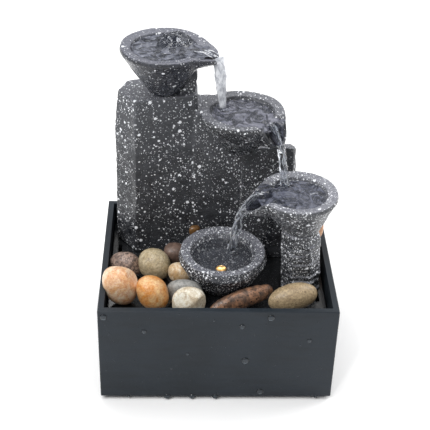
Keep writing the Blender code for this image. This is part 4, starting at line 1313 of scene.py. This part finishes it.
@dataclass
class Water:
    """All the moving water: four pools and the three falls that join them."""

    pools: tuple[Pool, ...] = ()
    falls: tuple[Fall, ...] = ()
    ring_bubbles: int = 16
    froth_bubbles: int = 34

    @classmethod
    def plan(cls) -> "Water":
        """Lays out the pools and falls from the bowls' own sizes."""
        bowls = ("top_bowl", "second_bowl", "third_bowl", "lowest_bowl")
        levels = {name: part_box(name)[1].z for name in bowls}
        top = Bowl("top_bowl", levels["top_bowl"] - 0.0025, -12, (-0.0018, 0.0299, 0.2288))
        second = Bowl("second_bowl", levels["second_bowl"] - 0.0035, -38, (0.0420, -0.0072, 0.1800))
        third = Bowl("third_bowl", levels["third_bowl"] - 0.0035, 177, (0.0186, -0.0160, 0.1329), True)
        lowest = Bowl("lowest_bowl", levels["lowest_bowl"] - 0.0050, None, None)
        landings = ((0.0024, 0.0232, second.level), (0.0472, -0.0040, third.level),
                    (0.0115, -0.0040, lowest.level))
        outlet_low, outlet_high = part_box("bubbler_outlet")
        jet = (outlet_low + outlet_high) / 2 + Vector((0.0050, 0.0010, 0.0))
        # The pools' milk colours, lilac among them, are partly aerated water, partly painted reflection of the
        # bright surround.
        lilac, steel = (0.150, 0.153, 0.190), (0.016, 0.019, 0.028)
        pools = (
            Pool(top, PoolFinish("top_pool", steel, (0.145, 0.153, 0.190), milk_and_sheen_share=0.85, cover=0.80,
                                 boil=tuple(jet), chop=0.0006), bubbler=jet),
            Pool(second, PoolFinish("second_pool", (0.026, 0.029, 0.040), lilac, milk_and_sheen_share=0.95, cover=0.80),
                 hits=((landings[0], 0.0011),), swell=0.65 * MM),
            Pool(third, PoolFinish("third_pool", (0.012, 0.015, 0.025), (0.115, 0.122, 0.160), milk_and_sheen_share=0.85,
                                   cover=0.72), hits=((landings[1], 0.0010),), swell=0.5 * MM),
            Pool(lowest, PoolFinish("lowest_pool", (0.007, 0.009, 0.013), (0.075, 0.085, 0.105),
                                    milk_and_sheen_share=0.5, cover=0.42), hits=((landings[2], 0.0009),), swell=0.3 * MM),
        )
        falls = (
            Fall("top_fall", top.tip, landings[0], 0.35, (8.2 * MM, 9.0 * MM, 4.8 * MM),
                 (6.4 * MM, 6.8 * MM, 4.4 * MM), 11, tuple(top.centre()), 0),
            Fall("second_fall", second.tip, landings[1], 0.30, (8.2 * MM, 7.8 * MM, 8.4 * MM),
                 (5.0 * MM, 4.6 * MM, 5.0 * MM), 23, tuple(second.centre())),
            Fall("third_fall", third.tip, landings[2], 0.45, (9.4 * MM, 8.8 * MM, 8.4 * MM),
                 (6.0 * MM, 5.4 * MM, 5.4 * MM), 37, tuple(third.centre()), froth=1.5),
        )
        return cls(pools, falls)

    def build(self) -> None:
        """Builds the pools, then the falls."""
        for pool in self.pools:
            pool.build()
        clear = ClearFinish("falling_water", tint=(0.80, 0.83, 0.88), milk=(0.97, 0.98, 1.0)).build()
        white = WhiteWaterAndGlintFinish().build()
        # The top fall is drawn pale and cloudy: partly aerated water, partly painted backlight of the bright
        # surround seen through the stream.
        milky_painted_backlight = WhiteWaterAndGlintFinish("milky_painted_backlight_water", 0.90, (0.42, 0.44, 0.49), (0.84, 0.86, 0.90), 0.14).build()
        for n, fall in enumerate(self.falls):
            fall.build(clear, white, clear if n else milky_painted_backlight)
        self.bubbles(clear)

    def bubbles(self, clear: bpy.types.Material) -> None:
        """Floats a ring of bubbles round the third fall's foot and froth round the bubbler.

        Args:
            clear: the clear water's material.
        """
        rng = random.Random(5)
        bm = bmesh.new()
        foot = Vector(self.falls[2].landing)
        for k in range(self.ring_bubbles):
            angle = 2 * math.pi * k / self.ring_bubbles + rng.uniform(-0.15, 0.15)
            far = rng.uniform(0.0030, 0.0046)
            size = rng.uniform(0.5, 0.9) * MM
            blob(bm, foot + Vector((math.cos(angle) * far, math.sin(angle) * far * 0.8, 0.0001)),
                 (size, size, size * 0.7))
        jet = self.pools[0]
        for _ in range(self.froth_bubbles):
            angle, far = rng.uniform(0, 2 * math.pi), rng.uniform(0.0085, 0.0135)
            x, y = jet.bubbler.x + math.cos(angle) * far, jet.bubbler.y + math.sin(angle) * far
            size = rng.uniform(0.3, 0.8) * MM
            blob(bm, Vector((x, y, jet.bowl.level + jet.wave(x, y) * 0.98)), (size, size, size * 0.6))
        water_piece("bubbles", bm, clear)


# ---- pebbles ----------------------------------------------------------------------------------------------

@dataclass(frozen=True)
class Stone:
    """One pebble's finish and how its shape departs from its plain node."""

    finish: PebbleFinish
    rough: float = 0.035
    lump: float = 90.0
    plump: float = 2.5
    facets: tuple[tuple[Triple, float], ...] = ()
    pits: float = 0.0
    taper: float = 0.0
    lean: float = 0.0
    grow: Triple = (1.03, 1.03, 1.03)
    shift: Triple = (0.0, 0.0, 0.0)


def stones() -> dict[str, Stone]:
    """Lists the pebbles' finishes and shapes by node name."""
    mottled, speckled, two = Pebble.MOTTLED, Pebble.SPECKLED, Pebble.TWO_TONE
    dark = (0.05, 0.035, 0.03)
    return {
        "pebble_peach": Stone(
            PebbleFinish("peach_stone", mottled, (0.64, 0.33, 0.15), (0.80, 0.64, 0.47), (0.80, 0.66, 0.50),
                         95, 1.0, 0.12),
            0.03, 55, 2.3, (((0.75, -0.2, 0.65), 0.86),),
            taper=0.13, lean=-0.10, grow=(1.12, 1.0, 1.08), shift=(-1.6, 0, 0.6)),
        "pebble_orange": Stone(
            PebbleFinish("orange_stone", mottled, (0.58, 0.22, 0.040), (0.70, 0.46, 0.23), (0.36, 0.12, 0.03),
                         120, 0.9, 0.16),
            0.05, 70, 2.2, (((0.7, -0.3, 0.65), 0.90),), lean=-0.20, grow=(1.12, 1.0, 1.02)),
        "pebble_granite": Stone(
            PebbleFinish("granite_stone", speckled, (0.42, 0.30, 0.24), (0.10, 0.07, 0.06), dark,
                         420, 1.0, 0.75),
            0.08, 120, 2.3,
            (((-0.4, -0.8, 0.45), 0.86), ((0.75, -0.5, 0.3), 0.88), ((-0.7, -0.1, 0.7), 0.84)),
            taper=-0.10, grow=(1.08, 1.03, 1.06)),
        "pebble_olive": Stone(
            PebbleFinish("olive_stone", speckled, (0.50, 0.42, 0.28), (0.34, 0.26, 0.14), (0.14, 0.10, 0.06),
                         260, 0.7, 0.35),
            0.05, 65, 2.2, taper=-0.06, lean=-0.10, grow=(1.16, 1.0, 1.08), shift=(-1.4, 0, 0.6)),
        "pebble_mauve": Stone(
            PebbleFinish("mauve_stone", mottled, (0.20, 0.13, 0.10), (0.11, 0.07, 0.055), dark,
                         160, 0.7, 0.25),
            0.04, 90, 2.4),
        "pebble_cream": Stone(
            PebbleFinish("cream_stone", mottled, (0.74, 0.65, 0.50), (0.48, 0.29, 0.12), (0.36, 0.22, 0.10),
                         130, 0.9, 0.14),
            0.05, 80, 2.3, grow=(1.42, 1.1, 1.10), shift=(2.6, 0, 0.6)),
        "pebble_grey": Stone(
            PebbleFinish("grey_stone", two, (0.24, 0.24, 0.23), (0.44, 0.43, 0.40), (0.10, 0.10, 0.10),
                         260, 0.25, 0.40),
            0.07, 80, 2.2, grow=(1.10, 1.0, 1.05)),
        "pebble_white": Stone(
            PebbleFinish("white_stone", mottled, (0.78, 0.74, 0.63), (0.44, 0.32, 0.18), (0.22, 0.13, 0.06),
                         150, 0.7, 0.20),
            0.04, 80, 2.3,
            (((-0.35, -0.75, 0.55), 0.84), ((0.80, -0.55, 0.1), 0.86), ((0.3, -0.3, 0.9), 0.90)), 0.9),
        "pebble_russet": Stone(
            PebbleFinish("russet_stone", speckled, (0.30, 0.155, 0.088), (0.060, 0.038, 0.028),
                         (0.016, 0.012, 0.010), 170, 1.0, 0.62, 0.12),
            0.13, 130, 2.0,
            (((0.90, -0.35, 0.05), 0.80), ((0.2, -0.95, 0.1), 0.90), ((-0.3, -0.5, 0.8), 0.86)), 0.6,
            grow=(1.03, 1.15, 1.14)),
        "pebble_tan": Stone(
            PebbleFinish("tan_stone", speckled, (0.42, 0.32, 0.19), (0.27, 0.19, 0.11), (0.13, 0.09, 0.05),
                         240, 0.7, 0.4, 0.15),
            0.03, 90, 2.0, grow=(1.04, 1.1, 1.08)),
        "pebble_rear_low": Stone(
            PebbleFinish("rear_low_stone", mottled, (0.36, 0.28, 0.20), (0.24, 0.18, 0.13), dark,
                         150, 0.6, 0.3),
            0.04),
        "pebble_rear_side": Stone(
            PebbleFinish("rear_side_stone", speckled, (0.26, 0.23, 0.21), (0.16, 0.14, 0.13), dark,
                         180, 0.6, 0.4),
            0.04),
        "pebble_terracotta": Stone(
            PebbleFinish("terracotta_stone", mottled, (0.50, 0.22, 0.09), (0.64, 0.38, 0.20),
                         (0.30, 0.12, 0.05), 150, 0.6, 0.15),
            0.03),
        "pebble_amber": Stone(
            PebbleFinish("amber_stone", mottled, (0.20, 0.095, 0.025), (0.10, 0.05, 0.02), dark,
                         260, 0.7, 0.3, 0.6),
            0.04),
    }


@dataclass
class Pebbles:
    """The tumbled stones on the tray, each worn, faceted or pitted inside its node's outline."""

    kinds: dict[str, Stone] = field(default_factory=stones)

    def wear(self, name: str, stone: Stone) -> bpy.types.Object:
        """Shapes one stone from its node.

        Args:
            name: the node's name.
            stone: its finish and shape.

        Returns:
            The stone.
        """
        made = welded_copy(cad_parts[name], name + "_stone")
        round_off = made.modifiers.new("round", "SUBSURF")
        round_off.levels = round_off.render_levels = 2
        applied(made)
        low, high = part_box(name)
        centre = np.array((low + high) / 2)
        half = np.array((high - low) / 2)
        spots, _ = points_of(made.data)
        unit = (spots - centre) / half
        seed = float(sum(map(ord, name)) % 97)
        depth = np.zeros(len(unit))
        for n, (u, spot) in enumerate(zip(unit, spots)):
            lumps = 0.5 + 0.5 * noise.fractal(Vector(spot) * stone.lump + Vector((seed, 0, 0)), 0.9, 2.0, 4)
            depth[n] = stone.rough * lumps
            if stone.pits:
                pit = noise.noise(Vector(spot) * 420 + Vector((0, seed, 0)))
                depth[n] += 0.05 * stone.pits * max(0.0, pit - 0.15)
        way_out = unit / np.linalg.norm(unit, axis=1)[:, None]
        unit /= (np.abs(way_out) ** stone.plump).sum(axis=1)[:, None] ** (1.0 / stone.plump)
        unit *= (1.0 - depth)[:, None]
        unit[:, 0] = unit[:, 0] * (1.0 + stone.taper * unit[:, 2]) + stone.lean * unit[:, 2]
        for way, keep in stone.facets:
            plane = np.array(way) / np.linalg.norm(way)
            past = unit @ plane - keep
            ripple = np.array([0.012 * noise.noise(Vector(spot) * 260) for spot in spots])
            unit -= np.clip(past + ripple, 0, None)[:, None] * plane * 0.92
        unit *= np.array(stone.grow)
        made.data.vertices.foreach_set("co", (centre + unit * half + np.array(stone.shift) * MM).ravel())
        dress(made, stone.finish.build())
        return seat(made, Body.ROCKERY, name, name)

    def build(self) -> None:
        """Builds every stone."""
        for name, stone in self.kinds.items():
            self.wear(name, stone)


# ---- basin ------------------------------------------------------------------------------------------------

@dataclass
class Basin:
    """The slate basin, the wet tray inside it and the water drops on its faces."""

    stray: int = 150
    stray_sizes: tuple[float, ...] = (0.22, 0.28, 0.35, 0.5)
    side_sizes: tuple[float, ...] = (0.35, 0.6, 1.1)
    large: tuple[tuple[float, float, float], ...] = (
        (0.025, 0.935, 5.2), (0.717, 0.935, 5.2), (0.191, 0.777, 3.6), (0.598, 0.835, 4.0),
        (0.884, 0.677, 3.4), (0.619, 0.440, 5.4), (0.373, 0.517, 2.2), (0.690, 0.065, 4.8),
        (0.480, 0.900, 1.6), (0.305, 0.340, 1.5),
    )
    hanging: tuple[tuple[float, float], ...] = (
        (0.288, 5.0), (0.395, 4.4), (0.497, 4.4), (0.935, 2.6), (0.12, 1.8),
    )

    def dress(self) -> None:
        """Gives the basin and the tray their finishes."""
        paint("basin", SlateFinish().build())
        tray = MouldedFinish("deck_plastic", (0.008, 0.009, 0.010), (0.014, 0.015, 0.017), 0.12, grain=700.0,
                             depth=0.0004, gloss=0.6)
        paint("deck", tray.build())

    def drops(self) -> None:
        """Sits beads of water on the front, the left side and the lower edge."""
        low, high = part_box("basin")
        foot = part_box("foot_front_left")[1].z
        tall = high.z - foot
        rng = random.Random(41)
        bm = bmesh.new()
        front = low.y
        for across, up, size in self.large:
            half = size / 2 * MM
            blob(bm, Vector((low.x + (high.x - low.x) * across, front, foot + tall * up)),
                 (half, half * 0.42, half * 1.05), Vector((0, -1, 0)), 3)
        for _ in range(self.stray):
            half = rng.choice(self.stray_sizes) * MM
            spot = Vector((rng.uniform(low.x + 0.002, high.x - 0.002), front,
                           foot + tall * rng.uniform(0.03, 0.98)))
            blob(bm, spot, (half, half * 0.5, half * rng.uniform(1.0, 1.4)), Vector((0, -1, 0)))
        for _ in range(self.stray // 4):
            half = rng.choice(self.side_sizes) * MM
            spot = Vector((low.x, rng.uniform(low.y + 0.003, high.y - 0.003),
                           foot + tall * rng.uniform(0.05, 0.95)))
            blob(bm, spot, (half * 0.5, half, half * 1.1), Vector((-1, 0, 0)))
        for across, size in self.hanging:
            half = size / 2 * MM
            blob(bm, Vector((low.x + (high.x - low.x) * across, front + half * 0.15, foot + half * 0.05)),
                 (half, half * 0.6, min(half, foot * 0.98)), Vector((0, -1, 0)), 3)
        seat(new_object("basin_drops", bm, BeadFinish().build()), Body.BASIN, "basin_slate")


def paint(node: str, material: bpy.types.Material) -> None:
    """Gives a kept node one material.

    Args:
        node: the node's name.
        material: the material.
    """
    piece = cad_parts[node]
    piece.data.materials.clear()
    piece.data.materials.append(material)
    LOG.info("%s: %s", node, material.name)


# ---- pump, lamp and leads ---------------------------------------------------------------------------------

@dataclass
class Works:
    """The pump, lamp, leads and feet: kept as modelled and given their working finishes."""

    finishes: tuple[tuple[MouldedFinish, tuple[str, ...]], ...] = (
        (MouldedFinish("pump_plastic", (0.014, 0.015, 0.017), (0.028, 0.029, 0.031), 0.38),
         ("pump_body", "pump_back_cover", "pump_chamber", "intake_cover", "flow_slider", "impeller")),
        (MouldedFinish("black_rubber", (0.012, 0.012, 0.012), (0.028, 0.027, 0.026), 0.72, grain=1500.0),
         ("foot_front_left", "foot_front_right", "foot_rear_left", "foot_rear_right", "suction_cup_1",
          "suction_cup_2", "suction_cup_3", "suction_cup_4", "cable_gland", "rear_bush", "front_bush",
          "lamp_gasket")),
        (MouldedFinish("lead_jacket", (0.010, 0.010, 0.011), (0.022, 0.022, 0.022), 0.5, grain=2200.0),
         ("pump_lead", "lamp_lead", "lamp_supply_lead")),
        (MouldedFinish("core_steel", (0.34, 0.34, 0.35), (0.22, 0.20, 0.18), 0.34, 1.0, 1800.0),
         ("stator_core",)),
        (MouldedFinish("copper_wire", (0.72, 0.33, 0.16), (0.52, 0.21, 0.09), 0.3, 1.0, 2600.0, 0.0002),
         ("stator_coil",)),
        (MouldedFinish("ferrite", (0.045, 0.045, 0.048), (0.08, 0.08, 0.085), 0.5, grain=2400.0),
         ("rotor_magnet",)),
        (MouldedFinish("shaft_ceramic", (0.80, 0.79, 0.75), (0.70, 0.68, 0.62), 0.22, grain=2000.0),
         ("impeller_shaft",)),
        (MouldedFinish("lamp_plastic", (0.016, 0.016, 0.018), (0.03, 0.03, 0.032), 0.35),
         ("lamp_housing", "lamp_plug", "lamp_socket")),
        (MouldedFinish("lamp_board", (0.015, 0.13, 0.055), (0.03, 0.20, 0.09), 0.42, grain=1600.0),
         ("lamp_board",)),
    )

    def build(self) -> None:
        """Dresses every kept node."""
        for finish, nodes in self.finishes:
            material = finish.build()
            for node in nodes:
                paint(node, material)
        hose = ClearFinish("clear_hose", tint=(0.80, 0.84, 0.85), roughness=0.12, ior=1.46, waves=180.0,
                           depth=0.0002).build()
        for node in ("riser_hose", "bubbler_outlet"):
            paint(node, hose)
        low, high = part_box("lamp_lens")
        paint("lamp_lens", GlowFinish(tuple((low + high) / 2)).build())


# ---- studio -----------------------------------------------------------------------------------------------

@dataclass(frozen=True)
class Light:
    """A square area light that faces the fountain, its power a share of the key's."""

    name: str
    share: float
    size: float
    place: Triple


@dataclass(frozen=True)
class Studio:
    """A white floor, a pale surround, four soft lamps and a camera with a long lens.

    The overhead lamp is wide, the key stands at the front left and the strip at the right; the small spark
    puts the glints on the water.
    """

    eye: Triple = (-0.029454, -0.640862, 0.544267)
    down: float = 33.669
    right: float = 2.461
    roll: float = 1.7945
    lens: float = 87.66
    film: float = 36.0
    surround: float = 0.42
    key_power: float = 10.0
    aim: Triple = (0.0, 0.0, 0.1)
    lamps: tuple[Light, ...] = (
        Light("key", 1.0, 0.7, (-0.9, -0.5, 1.2)),
        Light("overhead", 3.2, 2.2, (0.1, 0.5, 1.7)),
        Light("strip", 0.5, 0.5, (0.9, 0.4, 0.9)),
        Light("spark", 0.35, 0.10, (-0.35, -0.8, 1.1)),
    )

    def camera(self) -> None:
        """Stands the camera a little left of the middle, looking down on the bowls."""
        down, right, roll = (math.radians(a) for a in (self.down, self.right, self.roll))
        ahead = Vector((math.sin(right) * math.cos(down), math.cos(right) * math.cos(down), -math.sin(down)))
        level = Vector((math.cos(right), -math.sin(right), 0.0))
        upright = level.cross(ahead)
        side = level * math.cos(roll) + upright * math.sin(roll)
        top = upright * math.cos(roll) - level * math.sin(roll)
        data = bpy.data.cameras.new("camera")
        data.lens, data.sensor_width, data.clip_start = self.lens, self.film, 0.01
        stand = bpy.data.objects.new("camera", data)
        place = Matrix((side, top, -ahead)).transposed().to_4x4()
        place.translation = self.eye
        stand.matrix_world = place
        bpy.context.scene.collection.objects.link(stand)
        bpy.context.scene.camera = stand

    def floor(self) -> None:
        """Lays the pale floor."""
        bm = bmesh.new()
        bmesh.ops.create_grid(bm, x_segments=1, y_segments=1, size=6.0)
        s = Surface.start("floor")
        s.set(Base_Color=(0.93, 0.93, 0.93), Roughness=0.9, Specular_IOR_Level=0.1)
        new_object("floor", bm, s.material, smooth=False)

    def lights(self) -> None:
        """Lights the pale surround and hangs the lamps."""
        world = bpy.data.worlds.new("surround")
        world.use_nodes = True
        world.node_tree.nodes["Background"].inputs[0].default_value = (1, 1, 1, 1)
        world.node_tree.nodes["Background"].inputs[1].default_value = self.surround
        bpy.context.scene.world = world
        for light in self.lamps:
            data = bpy.data.lights.new(light.name, "AREA")
            data.energy, data.size = self.key_power * light.share, light.size
            lamp = bpy.data.objects.new(light.name, data)
            lamp.location = light.place
            towards = Vector(self.aim) - Vector(light.place)
            lamp.rotation_euler = towards.to_track_quat("-Z", "Y").to_euler()
            bpy.context.scene.collection.objects.link(lamp)

    def build(self) -> None:
        """Sets up the studio."""
        self.camera()
        self.floor()
        self.lights()
        bpy.context.scene.view_settings.view_transform = "Standard"


def main() -> None:
    """Builds the studio and every part of the fountain."""
    logging.basicConfig(level=logging.INFO, format="%(name)s: %(message)s")
    Groups.build()
    Studio().build()
    Works().build()
    basin = Basin()
    basin.dress()
    basin.drops()
    Rockery().build()
    Pebbles().build()
    Water.plan().build()


if __name__ == "__main__":
    main()
